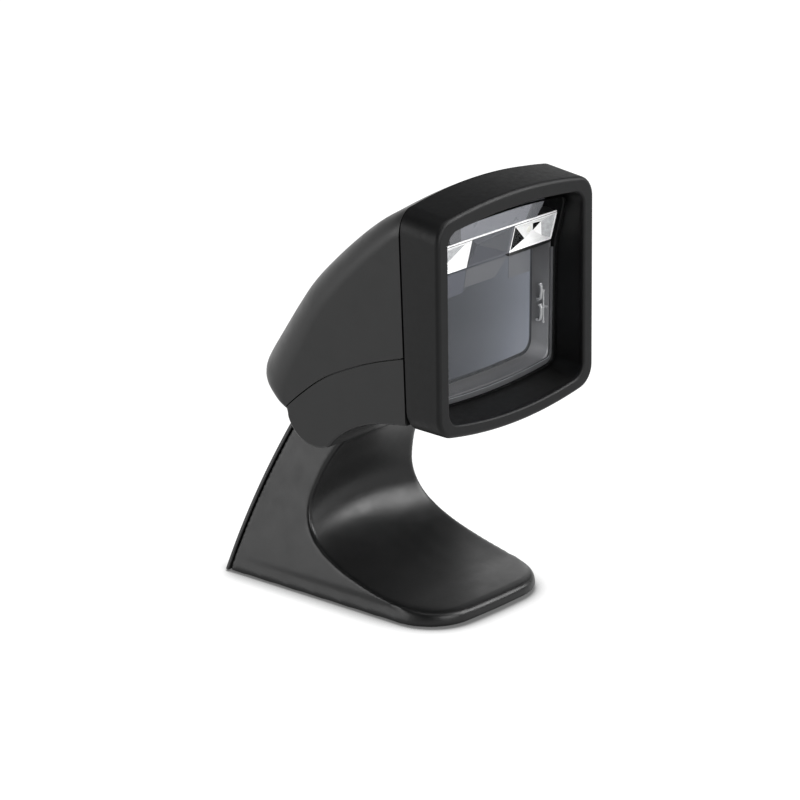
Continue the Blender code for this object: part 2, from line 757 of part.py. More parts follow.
def pivot_hardware():
    out = ARM_WIDTH / 2 + 1.5 * MM + 1.6 * MM
    steps = [(4.2 * MM, 0), (4.2 * MM, 2.0 * MM), (PIN_RADIUS, 2.0 * MM),
             (PIN_RADIUS, 2 * out + 6.0 * MM)]
    stepped_rod("tilt_pin", steps, (-out - 2.0 * MM - GAP, PIVOT_Y, PIVOT_Z), (1, 0, 0), steel(), 20)
    bore = (PIN_RADIUS + GAP) / math.cos(math.pi / 6)
    nut = [(bore, 0), (4.8 * MM, 0), (4.8 * MM, 2.6 * MM), (bore, 2.6 * MM)]
    turned("tension_nut", nut, (out + GAP, PIVOT_Y, PIVOT_Z), (1, 0, 0), steel(), segments=6)
    ring = [(PIN_RADIUS + GAP, 0), (5.6 * MM, 0), (5.6 * MM, 0.8 * MM), (PIN_RADIUS + GAP, 0.8 * MM)]
    for name, side in (("friction_washer_right", 1), ("friction_washer_left", -1)):
        turned(name, ring, (side * (ARM_WIDTH / 2 + 0.35 * MM), PIVOT_Y, PIVOT_Z), (side, 0, 0),
               black_plastic(), segments=20)


# ---------------------------------------------------------------- button

def top_button():
    spot, outward = button_frame()
    profile = [(1.6 * MM, -4.6 * MM), (1.6 * MM, -4.0 * MM), (6.6 * MM, -4.0 * MM),
               (6.6 * MM, -3.2 * MM), (BUTTON_RADIUS, -3.2 * MM), (BUTTON_RADIUS, 0.7 * MM),
               (4.5 * MM, 1.1 * MM), (0.8 * MM, 1.2 * MM)]
    return stepped_rod("top_button", profile, spot, outward, satin_grey(), 28)


def button_switch():
    spot, outward = button_frame()
    turn = outward.to_track_quat('Z', 'Y').to_matrix()
    return box("button_switch", (6 * MM, 6 * MM, 2.4 * MM), spot - outward * 6.9 * MM,
               black_plastic(), turn=turn)


# ---------------------------------------------------------------- stand

# The stand's outline rises from the toe over the throat to the neck. Each station has the
# height, the front edge's y at the cheeks, the corner radius and how far the middle of the
# front edge lies behind the cheeks, in millimetres.
STAND_STATIONS = [
    (0.5, -39.9, 15.0, -1.4),
    (1.7, -40.6, 15.4, -1.4),
    (3.5, -40.6, 15.4, -1.4),
    (4.5, -40.2, 15.2, -1.4),
    (5.1, -39.3, 14.8, -1.2),
    (5.5, -37.4, 14.0, -0.8),
]
THROAT_STATIONS = [
    (5.5, -37.4, 14.0, -0.8),
    (6.0, -30.0, 7.0, 0.4),
    (6.8, -21.0, 2.6, 2.0),
    (9.4, -8.6, 1.6, 3.8),
    (13.7, 4.4, 1.6, 4.2),
    (19.9, 13.3, 1.6, 4.2),
    (28.6, 16.4, 1.6, 4.0),
    (39.4, 13.6, 1.8, 3.6),
    (48.0, 9.2, 2.2, 2.8),
    (53.4, 4.9, 3.4, 2.0),
    (57.6, 3.4, 4.2, 1.6),
]


def back_y(z):
    """The rear face of the rear cover at a height, slightly round and leaning forward."""
    return STAND_BACK - BACK_SLOPE * z - z * z / (2 * BACK_RADIUS)


def cheek_half(y, z):
    return CHEEK_HALF - CHEEK_LEAN * z + CHEEK_SPLAY * y


def stand_section(station, inset, back):
    """A level outline of the stand from a station, as points of one closed ring."""
    height, front, corner, dish = [v * MM for v in station]
    half = cheek_half(front, height) - inset
    radius = min(corner, half * 0.9)
    flat = half - radius
    right = []
    for k in range(7):
        x = flat * k / 6
        right.append(Vector((x, front + inset + dish * (1 - (x / half) ** 2), height)))
    drop = right[-1].y
    for k in range(1, 6):
        angle = math.pi / 2 * k / 5
        blend = 1 - math.sin(angle)
        right.append(Vector((flat + radius * math.sin(angle),
                             front + inset + radius * (1 - math.cos(angle))
                             + (drop - front - inset) * blend, height)))
    right.append(Vector((cheek_half(back, height) - inset, back, height)))
    left = [Vector((-p.x, p.y, p.z)) for p in reversed(right[1:])]
    return right + left


def base_inset(height):
    """The foot of the shell tucks in a little where it nears the floor."""
    return 0.7 * MM if height < 1.2 else 0.0


def stand_shell():
    stations = STAND_STATIONS[:-1] + spline(THROAT_STATIONS, 3)
    rings = []
    for station in stations:
        back = back_y(station[0] * MM) - COVER - COVER_GAP
        rings.append(stand_section(station, base_inset(station[0]), back))
    shell = loft("stand_shell", rings, satin_grey())
    boolean(shell, stand_cavity())
    cradle = rod("cradle", BARREL_RADIUS + 1.0 * MM, (-40 * MM, PIVOT_Y, PIVOT_Z),
                 (40 * MM, PIVOT_Y, PIVOT_Z), segments=72)
    boolean(shell, cradle)
    boolean(shell, arm_way())
    smooth(shell)
    return shell


def arm_way():
    """The slanted channel through the top of the neck that the arm's leg passes."""
    spare = 0.6
    back = [(12.6, 62.0)] + [(y + spare, z + 0.2) for y, z in ARM_BACK[1:4]]
    front = [(7.4, 62.0)] + [(y - spare, z - 0.2) for y, z in ARM_FRONT[1:4]]
    outline = [(y * MM, z * MM) for y, z in back + front[::-1]]
    return extrude_profile("arm_way", outline, ARM_WIDTH / 2 + 1 * MM)


def stand_cavity():
    """The hollow inside the stand, open below and behind."""
    wall = 2.3
    rings = [cavity_ring(-1.0, -37.6), cavity_ring(2.9, -37.0)]
    stations = THROAT_STATIONS[1:-2]
    for k, (height, front, corner, dish) in enumerate(stations):
        before = stations[max(k - 1, 0)]
        after = stations[min(k + 1, len(stations) - 1)]
        steep = (after[0] - before[0]) / math.hypot(after[0] - before[0], after[1] - before[1])
        flat = math.sqrt(1 - steep ** 2)
        y = front + max(dish, 0) + wall * steep + 0.6
        rings.append(cavity_ring(height - wall * flat, y))
    return loft("stand_cavity", rings)


def cavity_ring(height, front):
    z = height * MM
    y = front * MM
    back = 60 * MM
    near = cheek_half(y, z) - 2.2 * MM
    corner = min(10 * MM, max(2 * MM, (10 - 10 * (height - 2.9) / 8) * MM))
    far = cheek_half(back, z) - 2.2 * MM
    ring = [Vector((-near + corner, y, z)), Vector((near - corner, y, z)),
            Vector((near - corner * 0.3, y + corner * 0.3, z)), Vector((near, y + corner, z)),
            Vector((far, back, z)), Vector((-far, back, z)), Vector((-near, y + corner, z)),
            Vector((-near + corner * 0.3, y + corner * 0.3, z))]
    return ring


def rear_cover():
    """The thin cover that follows the stand's back, with rounded side edges."""
    rings = []
    top = 57.4
    steps = 12
    for k in range(steps + 1):
        height = 0.7 + (top - 0.7) * k / steps
        z = height * MM
        y = back_y(z)
        half = cheek_half(y, z)
        round_off = 1.4 * MM
        ring = [Vector((-half, y - COVER, z)), Vector((half, y - COVER, z)),
                Vector((half, y - round_off, z)),
                Vector((half - round_off * 0.3, y - round_off * 0.3, z)),
                Vector((half - round_off, y, z)), Vector((-half + round_off, y, z)),
                Vector((-half + round_off * 0.3, y - round_off * 0.3, z)),
                Vector((-half, y - round_off, z))]
        rings.append(ring)
    cover = loft("rear_cover", rings, satin_grey())
    notch = rod("cable_outlet", 3.2 * MM, (0, 30 * MM, 4.4 * MM), (0, 60 * MM, 4.4 * MM))
    boolean(cover, notch)
    mouth = box("cable_mouth", (6.4 * MM, 30 * MM, 6 * MM), (0, 45 * MM, 1.4 * MM))
    boolean(cover, mouth)
    smooth(cover)
    return cover


FOOT_SPOTS = {"front_left": (-17 * MM, -29 * MM), "front_right": (17 * MM, -29 * MM),
              "rear_left": (-23 * MM, 36 * MM), "rear_right": (23 * MM, 36 * MM)}
BASE_SCREWS = [(-21 * MM, -16 * MM), (21 * MM, -16 * MM), (-12 * MM, 38 * MM), (12 * MM, 38 * MM)]
PLATE_BOTTOM = 1.3 * MM
PLATE_TOP = 2.5 * MM


def base_plate():
    """Steel sheet that follows the shell's skirt, with holes for its screws."""
    station = (0.0, -37.2, 13.0, -0.5)
    ring = stand_section(station, 3.2 * MM, 44.6 * MM)
    outline = [(p.x, p.y) for p in ring]
    low = [Vector((x, y, PLATE_BOTTOM)) for x, y in outline]
    high = [Vector((x, y, PLATE_TOP)) for x, y in outline]
    plate = loft("base_plate", [low, high], steel())
    for k, (x, y) in enumerate(BASE_SCREWS):
        boolean(plate, rod("plate_hole_%d" % (k + 1), 1.6 * MM, (x, y, 0), (x, y, 6 * MM), segments=14))
    return plate


def base_screws():
    for k, (x, y) in enumerate(BASE_SCREWS):
        steps = [(2.0 * MM, 0), (2.6 * MM, 0.25 * MM), (2.6 * MM, 0.75 * MM), (1.2 * MM, 0.75 * MM),
                 (1.2 * MM, 2.7 * MM)]
        stepped_rod("base_screw_%d" % (k + 1), steps, (x, y, 0.3 * MM), (0, 0, 1), steel(), 12)


def feet():
    for where, (x, y) in FOOT_SPOTS.items():
        steps = [(4.2 * MM, 0), (4.6 * MM, 0.3 * MM), (4.6 * MM, PLATE_BOTTOM - 0.2 * MM)]
        stepped_rod("foot_" + where, steps, (x, y, 0), (0, 0, 1), black_rubber(), 20)


def ballast_weight():
    return box("ballast_weight", (40 * MM, 30 * MM, 5.4 * MM), (0, 25 * MM, 5.9 * MM), cast_grey(),
               bevel=1 * MM)


# ---------------------------------------------------------------- assembly

HEAD_NODES = ("upper_shell", "lower_shell", "bezel", "window_frame", "front_window",
              "window_gasket", "optical_chassis", "inner_window", "reflector_right",
              "reflector_left", "center_baffle", "led_right", "led_left", "hood_panel",
              "led_board", "light_pipe_upper", "light_pipe_lower", "camera_barrel",
              "camera_lens", "sensor_board", "main_board", "beeper", "cable_jack",
              "hinge_bracket", "button_switch", "shell_screw_1", "shell_screw_2",
              "shell_screw_3", "shell_screw_4", "button_travel_axis")


def parent_keeping_place(child, parent):
    child.parent = parent
    child.matrix_parent_inverse = parent.matrix_world.inverted()


def add_axes():
    """Empties on the joint axes, which carry the pieces that move with them."""
    tilt = bpy.data.objects.new("head_tilt_axis", None)
    tilt.location = (0, PIVOT_Y, PIVOT_Z)
    PARTS.objects.link(tilt)
    press = bpy.data.objects.new("button_travel_axis", None)
    press.location = button_frame()[0]
    PARTS.objects.link(press)
    bpy.context.view_layer.update()
    for name in HEAD_NODES:
        parent_keeping_place(bpy.data.objects[name], tilt)
    bpy.context.view_layer.update()
    parent_keeping_place(bpy.data.objects["top_button"], press)


def build_head():
    upper_shell()
    lower_shell()
    shell_screws()
    bezel()
    window_frame()
    front_window()
    window_gasket()
    optical_chassis()
    inner_window()
    lamps()
    hood_panel()
    led_board()
    light_pipe("light_pipe_upper", 96.2 * MM)
    light_pipe("light_pipe_lower", 89.2 * MM)
    camera()
    electronics()
    hinge_bracket()
    top_button()
    button_switch()


def build_stand():
    stand_shell()
    rear_cover()
    base_plate()
    base_screws()
    feet()
    ballast_weight()
    pivot_arm()
    pivot_hardware()


clear_scene()
PARTS = new_collection("presentation_scanner")
CUTTERS = new_collection("cutters")
build_head()
build_stand()
add_axes()
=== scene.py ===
"""Looks for a hands-free presentation barcode scanner: a tilting hooded head on a weighted stand.

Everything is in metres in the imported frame's own axes: +Z up, the window faces -Y.
"""
import json
import math

import bmesh
import bpy
from mathutils import Matrix, Vector


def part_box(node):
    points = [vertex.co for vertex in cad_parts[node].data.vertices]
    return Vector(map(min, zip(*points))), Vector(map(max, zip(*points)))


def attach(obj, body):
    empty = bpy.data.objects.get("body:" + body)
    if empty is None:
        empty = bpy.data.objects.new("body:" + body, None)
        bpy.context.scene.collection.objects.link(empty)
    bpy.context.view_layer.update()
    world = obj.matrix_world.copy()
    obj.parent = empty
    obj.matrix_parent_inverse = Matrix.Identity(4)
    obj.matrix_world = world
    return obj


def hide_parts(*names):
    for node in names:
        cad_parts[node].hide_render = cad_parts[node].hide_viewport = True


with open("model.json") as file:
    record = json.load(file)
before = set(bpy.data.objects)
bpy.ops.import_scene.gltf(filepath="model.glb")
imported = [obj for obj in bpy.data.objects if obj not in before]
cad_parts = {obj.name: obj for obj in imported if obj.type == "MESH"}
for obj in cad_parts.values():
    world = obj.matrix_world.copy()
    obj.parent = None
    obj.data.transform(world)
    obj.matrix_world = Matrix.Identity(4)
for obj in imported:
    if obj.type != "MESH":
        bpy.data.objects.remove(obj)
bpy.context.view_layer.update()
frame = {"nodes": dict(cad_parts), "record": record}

MM = 0.001
GAP = 0.3 * MM

# Sizes of the housing, hood, window, pivot and stand, as in the frame
HEAD_WIDTH = 74.8 * MM
HOOD_TOP = 142.2 * MM
HOOD_DRAFT = 1.4 * MM
HOOD_BOTTOM = 66.4 * MM
HOOD_RISE = 3.65 * MM
HOOD_DROP = 4.3 * MM
HOOD_CORNER = 7.5 * MM
HOOD_ROUND = 1.5 * MM
FRONT_Y = -48.9 * MM
SEAM_Y = -34.3 * MM
LEVEL_Z = 100.0 * MM
FRONT_LEAN = math.radians(1.0)
SEAM_LEAN = math.radians(2.7)
OPENING_WIDTH = 64.8 * MM
OPENING_TOP = 136.9 * MM
OPENING_BOTTOM = 70.7 * MM
OPENING_RISE = 2.3 * MM
OPENING_DROP = 3.3 * MM
OPENING_CORNER = 5.0 * MM
LIP = 1.6 * MM
LINER_WALL = 1.3 * MM
GLASS_Y = -36.2 * MM
KINK_Z = 115.0 * MM
KINK = math.radians(14.0)
PIVOT_Y = 3.8 * MM
PIVOT_Z = 67.4 * MM
BARREL_RADIUS = 12.0 * MM
ARM_WIDTH = 14.0 * MM
CHEEK_HALF = 31.7 * MM
CHEEK_LEAN = 0.235
CHEEK_SPLAY = 0.040
STAND_BACK = 48.4 * MM
BACK_SLOPE = 0.2225
BACK_RADIUS = 217.0 * MM
COVER = 1.9 * MM
COVER_GAP = 0.5 * MM
BUTTON_RADIUS = 5.0 * MM
TRAY_TOP = 115.6 * MM
PANEL_FACE = -30.5 * MM
LAMP_LOW = 2.0 * MM
LAMP_HIGH = 11.6 * MM
LAMP_INNER = 10.2 * MM
LAMP_OUTER = 30.8 * MM
LAMP_DEPTH = 5.0 * MM

# Crown line (y, z), start of the flat cheek (y, z), rounding and bow, in millimetres
CROWN_STATIONS = [
    (-34.0, 144.5, -34.0, 132.6, 7.0, 4.3),
    (-27.5, 141.2, -29.7, 130.4, 7.4, 3.8),
    (-19.2, 135.8, -24.9, 126.3, 8.2, 3.2),
    (-10.0, 128.4, -17.4, 119.6, 9.5, 2.6),
    (0.3, 119.4, -8.2, 110.4, 11.0, 2.4),
    (10.4, 109.6, 0.5, 100.2, 12.8, 2.2),
    (18.3, 100.0, 6.7, 90.0, 14.8, 2.0),
    (26.2, 89.4, 12.1, 80.4, 16.8, 1.8),
    (32.2, 80.9, 15.2, 74.3, 18.0, 1.5),
    (34.3, 76.2, 16.2, 71.4, 17.5, 1.2),
    (32.6, 72.4, 16.5, 69.4, 14.5, 0.9),
    (27.2, 69.0, 16.6, 68.0, 10.5, 0.6),
    (21.0, 66.2, 16.3, 67.0, 6.0, 0.3),
    (15.7, 64.8, 13.9, 65.8, 2.4, 0.0),
]

# Underside: arc round the pivot barrel, edge rounding and stations (y, z); parting line (y, z);
# all but the angles and the screws' places in millimetres
BARREL_FROM = math.radians(-20)
BARREL_TO = math.radians(-112)
FILLET = 0.8
BELLY_STATIONS = [(-2.6, 56.9), (-5.8, 60.2), (-10.0, 63.6), (-15.5, 66.7), (-24.0, 69.7),
                  (-36.5, 72.0)]
PARTING_STATIONS = [(-44.0, 96.5), (-34.1, 93.6), (-20.4, 89.0), (-7.7, 83.3), (0.9, 78.4),
                    (9.6, 71.6), (15.8, 65.9), (20.5, 60.5)]
SCREW_SPOTS = [(-25 * MM, -25 * MM), (25 * MM, -25 * MM), (-25 * MM, 2 * MM), (25 * MM, 2 * MM)]

# How finely the head's skin is drawn: steps to a station, and rows across each shell
SKIN_STEPS = 9
UPPER_ROWS = 110
LOWER_ROWS = 64

# Stand: height, front edge at the cheeks, plan corner radius, dish of the middle, in millimetres
STAND_STATIONS = [
    (0.5, -39.9, 15.0, -1.4),
    (1.7, -40.6, 15.4, -1.4),
    (3.5, -40.6, 15.4, -1.4),
    (4.5, -40.2, 15.2, -1.4),
    (5.1, -39.3, 14.8, -1.2),
    (5.5, -37.4, 14.0, -0.8),
]
THROAT_STATIONS = [
    (5.5, -37.4, 14.0, -0.8),
    (6.0, -30.0, 7.0, 0.4),
    (6.8, -21.0, 2.6, 2.0),
    (9.4, -8.6, 1.6, 3.8),
    (13.7, 4.4, 1.6, 4.2),
    (19.9, 13.3, 1.6, 4.2),
    (28.6, 16.4, 1.6, 4.0),
    (39.4, 13.6, 1.8, 3.6),
    (48.0, 9.2, 2.2, 2.8),
    (53.4, 4.9, 3.4, 2.0),
    (57.6, 3.4, 4.2, 1.6),
]

# Edges of the pivot arm (y, z) in millimetres
ARM_BACK = [(13.6, 55.2), (19.4, 48.4), (26.6, 38.6)]
ARM_FRONT = [(8.6, 54.2), (14.8, 47.6), (21.4, 38.0)]


# ---------------------------------------------------------------- materials

def link(tree, a, b):
    tree.links.new(a, b)


def node(tree, kind, **values):
    """A new node with its own settings or its sockets' values, by name."""
    made = tree.nodes.new(kind)
    for key, value in values.items():
        if hasattr(made, key):
            setattr(made, key, value)
        else:
            made.inputs[key.replace("_", " ")].default_value = value
    return made


def noise_node(tree, coords, millimetres, detail=2.0, roughness=0.5):
    made = node(tree, "ShaderNodeTexNoise", Scale=1.0 / (millimetres * MM), Detail=detail,
                Roughness=roughness)
    link(tree, coords, made.inputs["Vector"])
    return made.outputs["Fac"]


def ranged(tree, value, low, high, start=0.3, end=0.7):
    made = node(tree, "ShaderNodeMapRange", From_Min=start, From_Max=end, To_Min=low, To_Max=high)
    link(tree, value, made.inputs["Value"])
    return made.outputs["Result"]


def blended(tree, value, first, second):
    made = node(tree, "ShaderNodeMix", data_type='RGBA')
    ends = [socket for socket in made.inputs if socket.type == 'RGBA']
    for socket, color in zip(ends, (first, second)):
        socket.default_value = (*color, 1.0)
    link(tree, value, made.inputs["Factor"])
    return next(s for s in made.outputs if s.type == 'RGBA')


def bumped(tree, height, depth_mm, strength):
    made = node(tree, "ShaderNodeBump", Strength=strength, Distance=depth_mm * MM)
    link(tree, height, made.inputs["Height"])
    return made.outputs["Normal"]


def graded(tree, coords, color, axis, start, end, low, high, power=1.0):
    """A colour scaled from low to high along an axis of the piece, start and end in millimetres."""
    split = node(tree, "ShaderNodeSeparateXYZ")
    link(tree, coords, split.inputs["Vector"])
    share = ranged(tree, split.outputs[axis], 0.0, 1.0, start * MM, end * MM)
    bent = node(tree, "ShaderNodeMath", operation='POWER')
    bent.inputs[1].default_value = power
    link(tree, share, bent.inputs[0])
    factor = ranged(tree, bent.outputs["Value"], low, high, 0.0, 1.0)
    scaled = node(tree, "ShaderNodeVectorMath", operation='SCALE')
    link(tree, color, scaled.inputs["Vector"])
    link(tree, factor, scaled.inputs["Scale"])
    return scaled.outputs["Vector"]


def blank(name, **sockets):
    """A new material with its shader's own values set, and the piece's own coordinates."""
    made = bpy.data.materials.new(name)
    made.use_nodes = True
    tree = made.node_tree
    shader = tree.nodes["Principled BSDF"]
    for key, value in sockets.items():
        shader.inputs[key.replace("_", " ")].default_value = value
    return made, tree, shader, node(tree, "ShaderNodeTexCoord").outputs["Object"]


def surface(name, color, rough, spread, patch, grain, depth, strength, rough_spread=0.05,
            grades=(), **sockets):
    """A moulded or metal surface: broad colour variation, patchy gloss and a fine grain.

    patch, grain and depth are in millimetres; spread is the colour's share of variation.
    """
    made, tree, shader, coords = blank(name, **sockets)
    broad = noise_node(tree, coords, patch, 3.0)
    dark = tuple(c * (1 - spread) for c in color)
    light = tuple(min(1.0, c * (1 + spread)) for c in color)
    tone = blended(tree, ranged(tree, broad, 0, 1), dark, light)
    # Each grade scales the colour along one of the piece's own axes: painted light and shade.
    for grade in grades:
        tone = graded(tree, coords, tone, *grade)
    link(tree, tone, shader.inputs["Base Color"])
    fine = noise_node(tree, coords, grain, roughness=0.6)
    gloss = noise_node(tree, coords, patch * 0.4, 4.0, 0.65)
    link(tree, ranged(tree, gloss, rough - rough_spread, rough + rough_spread),
         shader.inputs["Roughness"])
    link(tree, bumped(tree, fine, depth, strength), shader.inputs["Normal"])
    return made


HOUSING = surface("housing_satin", (0.0034, 0.0035, 0.0036), 0.37, 0.08, 16, 0.5, 0.012, 0.35,
                  Specular_IOR_Level=0.29)
HOOD = surface("hood_soft_touch", (0.0030, 0.0031, 0.0033), 0.48, 0.15, 5, 0.42, 0.035, 0.6,
               Specular_IOR_Level=0.16)
LINER = surface("liner_gloss", (0.003, 0.003, 0.003), 0.44, 0.2, 6, 0.5, 0.012, 0.2,
                Specular_IOR_Level=0.2)
# The inner panel's tint, scaled lighter towards its right and its bottom: painted light.
PANEL = surface("panel_tinted_painted_light", (0.080, 0.086, 0.099), 0.3, 0.03, 30, 9.0, 0.001, 0.01,
                0.01, [("X", -18, 27, 0.82, 3.0, 2.2), ("Z", 79, 97, 1.4, 1.0)],
                Specular_IOR_Level=0.12)
# Pale and bluish colours of the panel's raised steps: painted light patches, the pale one also
# lighter towards the right.
PANEL_PAINTED_LIGHT = surface("panel_step_painted_light", (0.16, 0.165, 0.178), 0.3, 0.03, 20, 9.0, 0.001, 0.01,
                      0.01, [("X", -5, 27, 0.95, 1.25)], Specular_IOR_Level=0.12)
PANEL_PAINTED_BLUE_LIGHT = surface("panel_step_painted_blue_light", (0.125, 0.132, 0.158), 0.3, 0.03, 20, 4.0, 0.001, 0.02,
                     Specular_IOR_Level=0.12)
SEAL = surface("window_seal_grey", (0.10, 0.102, 0.108), 0.4, 0.08, 6, 0.6, 0.01, 0.3)
# Pale colour of the seal's lower bead: a painted highlight.
SEAL_HIGHLIGHT = surface("window_seal_painted_highlight", (0.36, 0.37, 0.39), 0.25, 0.08, 6, 0.6, 0.006, 0.2)
# Dark colour of the inner panel's rim: painted shade at its step.
PANEL_RIM = surface("panel_rim_painted_shade", (0.055, 0.058, 0.063), 0.3, 0.1, 9, 0.6, 0.006, 0.2,
                    Specular_IOR_Level=0.2)
# The tray's grey, painted darker towards its top and along its floor: painted shade.
TRAY = surface("tray_moulded_painted_shade", (0.27, 0.273, 0.285), 0.4, 0.05, 9, 0.6, 0.012, 0.3,
               grades=[("Z", 78, 113, 1.4, 0.45), ("Z", 75.5, 79.5, 0.5, 1.0)],
               Specular_IOR_Level=0.4)
# Shared finishes of the optics: spread, patch, grain, depth and strength
MATT = (0.05, 9, 0.6, 0.012, 0.3)
SATIN = (0.04, 9, 0.6, 0.01, 0.25)
# The baffle's facets take lit, shaded and half-shaded copies of one grey: painted light and shade.
BAFFLE = surface("baffle_moulded", (0.15, 0.157, 0.178), 0.35, *MATT)
BAFFLE_DARK = surface("baffle_shaded", (0.075, 0.08, 0.092), 0.35, *MATT)
BAFFLE_SHADE = surface("baffle_painted_shade_lower", (0.11, 0.116, 0.134), 0.35, *MATT)
# The pale panel's grey, and a darker copy for its angled end strips: painted shade.
PALE = surface("panel_pale", (0.215, 0.222, 0.25), 0.3, *SATIN)
PALE_PAINTED_SHADE = surface("panel_pale_painted_shade_end", (0.10, 0.104, 0.115), 0.3, *SATIN)
# Reflector finishes: a metallised mirror painted white, dark or grey facet by facet, as painted
# reflections.
MIRROR = surface("mirror_painted_bright", (0.95, 0.95, 0.95), 0.22, 0.02, 2.5, 1.5, 0.02, 0.4, 0.03,
                 Metallic=0.25)
MIRROR_SHADE = surface("mirror_shaded", (0.035, 0.036, 0.04), 0.15, 0.1, 4, 1.0, 0.006, 0.2, 0.03,
                       Metallic=1.0)
MIRROR_PAINTED_GREY = surface("mirror_painted_grey", (0.46, 0.47, 0.48), 0.22, 0.2, 1.2, 0.5, 0.01, 0.3, 0.05,
                      Metallic=0.5)
WHITE_RIM = surface("reflector_rim", (0.85, 0.85, 0.86), 0.3, 0.03, 4, 0.8, 0.006, 0.2)
STEEL = surface("steel_plated", (0.55, 0.55, 0.55), 0.32, 0.08, 5, 0.25, 0.008, 0.4, 0.08,
                Metallic=1.0)
CAST = surface("cast_grey", (0.2, 0.2, 0.205), 0.6, 0.15, 5, 0.7, 0.08, 0.7, 0.08, Metallic=0.7)
RUBBER = surface("rubber_black", (0.014, 0.014, 0.014), 0.8, 0.15, 3, 0.3, 0.03, 0.5)
BOARD = surface("board_mask", (0.012, 0.016, 0.014), 0.4, 0.1, 4, 1.2, 0.01, 0.3)
RESIN = surface("led_resin", (0.86, 0.86, 0.80), 0.2, 0.05, 1.5, 0.6, 0.004, 0.2)
BLACK = surface("moulded_black", (0.010, 0.010, 0.010), 0.42, 0.15, 4, 0.5, 0.02, 0.4)
GOLD = surface("contact_gold", (0.85, 0.62, 0.28), 0.25, 0.05, 2, 0.5, 0.004, 0.2, Metallic=1.0)


def clear_sheet(name, tint, roughness, opacity, index):
    """Clear polished plastic with faint variation in its polish."""
    made, tree, shader, coords = blank(name, Alpha=opacity, IOR=index)
    broad = noise_node(tree, coords, 20)
    dull = tuple(c * 0.95 for c in tint)
    link(tree, blended(tree, broad, dull, tint), shader.inputs["Base Color"])
    link(tree, ranged(tree, broad, roughness, roughness * 1.6), shader.inputs["Roughness"])
    return made


WINDOW = clear_sheet("window_clear", (0.02, 0.021, 0.022), 0.02, 0.06, 2.2)
# Pale tint of the clear hooks: clear plastic, partly a painted highlight.
CLEAR = clear_sheet("clear_moulded_painted_highlight", (0.72, 0.73, 0.74), 0.05, 0.55, 2.2)


# ---------------------------------------------------------------- mesh helpers

def finished(name, bm, finish):
    mesh = bpy.data.meshes.new(name)
    bm.to_mesh(mesh)
    bm.free()
    mesh.materials.append(finish)
    obj = bpy.data.objects.new(name, mesh)
    bpy.context.scene.collection.objects.link(obj)
    return obj


def band(bm, low, high):
    """The faces between two rings of as many points each."""
    count = len(low)
    return [bm.faces.new((low[k], low[(k + 1) % count], high[(k + 1) % count], high[k]))
            for k in range(count)]


def loft(name, rings, finish, closed=False):
    """A skin over rings of as many points each, capped at its ends or closed on itself."""
    bm = bmesh.new()
    rows = [[bm.verts.new(point) for point in ring] for ring in rings]
    for low, high in zip(rows, rows[1:]):
        band(bm, low, high)
    if closed:
        band(bm, rows[-1], rows[0])
    else:
        bm.faces.new(rows[0])
        bm.faces.new(rows[-1])
    bmesh.ops.recalc_face_normals(bm, faces=bm.faces)
    return finished(name, bm, finish)


def turned(name, profile, start, axis, finish, segments):
    """Coaxial rings of (radius, height) from start along axis."""
    turn = Vector(axis).normalized().to_track_quat('Z', 'Y').to_matrix()
    rings = []
    for radius, height in profile:
        ring = []
        for k in range(segments):
            angle = 2 * math.pi * k / segments
            local = Vector((radius * math.cos(angle), radius * math.sin(angle), height))
            ring.append(Vector(start) + turn @ local)
        rings.append(ring)
    return loft(name, rings, finish)


def cuboid(name, size, centre, finish=HOUSING, turn=None):
    bm = bmesh.new()
    bmesh.ops.create_cube(bm, size=1.0)
    bmesh.ops.scale(bm, vec=size, verts=bm.verts)
    matrix = Matrix.Translation(centre)
    if turn is not None:
        matrix = matrix @ turn.to_4x4()
    bmesh.ops.transform(bm, matrix=matrix, verts=bm.verts)
    bmesh.ops.recalc_face_normals(bm, faces=bm.faces)
    return finished(name, bm, finish)


def rod(name, radius, start, end, segments=48):
    run = Vector(end) - Vector(start)
    return turned(name, [(radius, 0), (radius, run.length)], start, run, HOUSING, segments)


def settle(obj, *tools):
    """Cut the tools out of a piece, turn its modifiers into mesh and drop the tools."""
    for tool in tools:
        step = obj.modifiers.new(tool.name, 'BOOLEAN')
        step.operation = 'DIFFERENCE'
        step.solver = 'EXACT'
        step.object = tool
    bpy.context.view_layer.update()
    graph = bpy.context.evaluated_depsgraph_get()
    mesh = bpy.data.meshes.new_from_object(obj.evaluated_get(graph))
    obj.modifiers.clear()
    old = obj.data
    obj.data = mesh
    mesh.name = obj.name
    bpy.data.meshes.remove(old)
    for tool in tools:
        bpy.data.objects.remove(tool, do_unlink=True)
    return obj


def smooth(obj, degrees=35):
    """Smooth shading that keeps every edge sharper than an angle."""
    obj.data.shade_smooth()
    obj.data.set_sharp_from_angle(angle=math.radians(degrees))
    step = obj.modifiers.new("Weighted normals", 'WEIGHTED_NORMAL')
    step.keep_sharp = True
    step.weight = 60


def rounded(obj, width, degrees=40):
    step = obj.modifiers.new("Rounded edges", 'BEVEL')
    step.width = width
    step.segments = 2
    step.limit_method = 'ANGLE'
    step.angle_limit = math.radians(degrees)


def spline(points, steps):
    """Catmull-Rom curve through points of any dimension, steps to each span."""
    last = len(points) - 1
    out = []
    for i in range(last):
        p1, p2 = points[i], points[i + 1]
        p0 = points[i - 1] if i else [2 * a - b for a, b in zip(p1, p2)]
        p3 = points[i + 2] if i + 2 <= last else [2 * b - a for a, b in zip(p1, p2)]
        for k in range(steps):
            t = k / steps
            out.append([0.5 * (2 * b + (c - a) * t + (2 * a - 5 * b + 4 * c - d) * t ** 2
                               + (3 * b - a - 3 * c + d) * t ** 3)
                        for a, b, c, d in zip(p0, p1, p2, p3)])
    out.append(list(points[-1]))
    return out


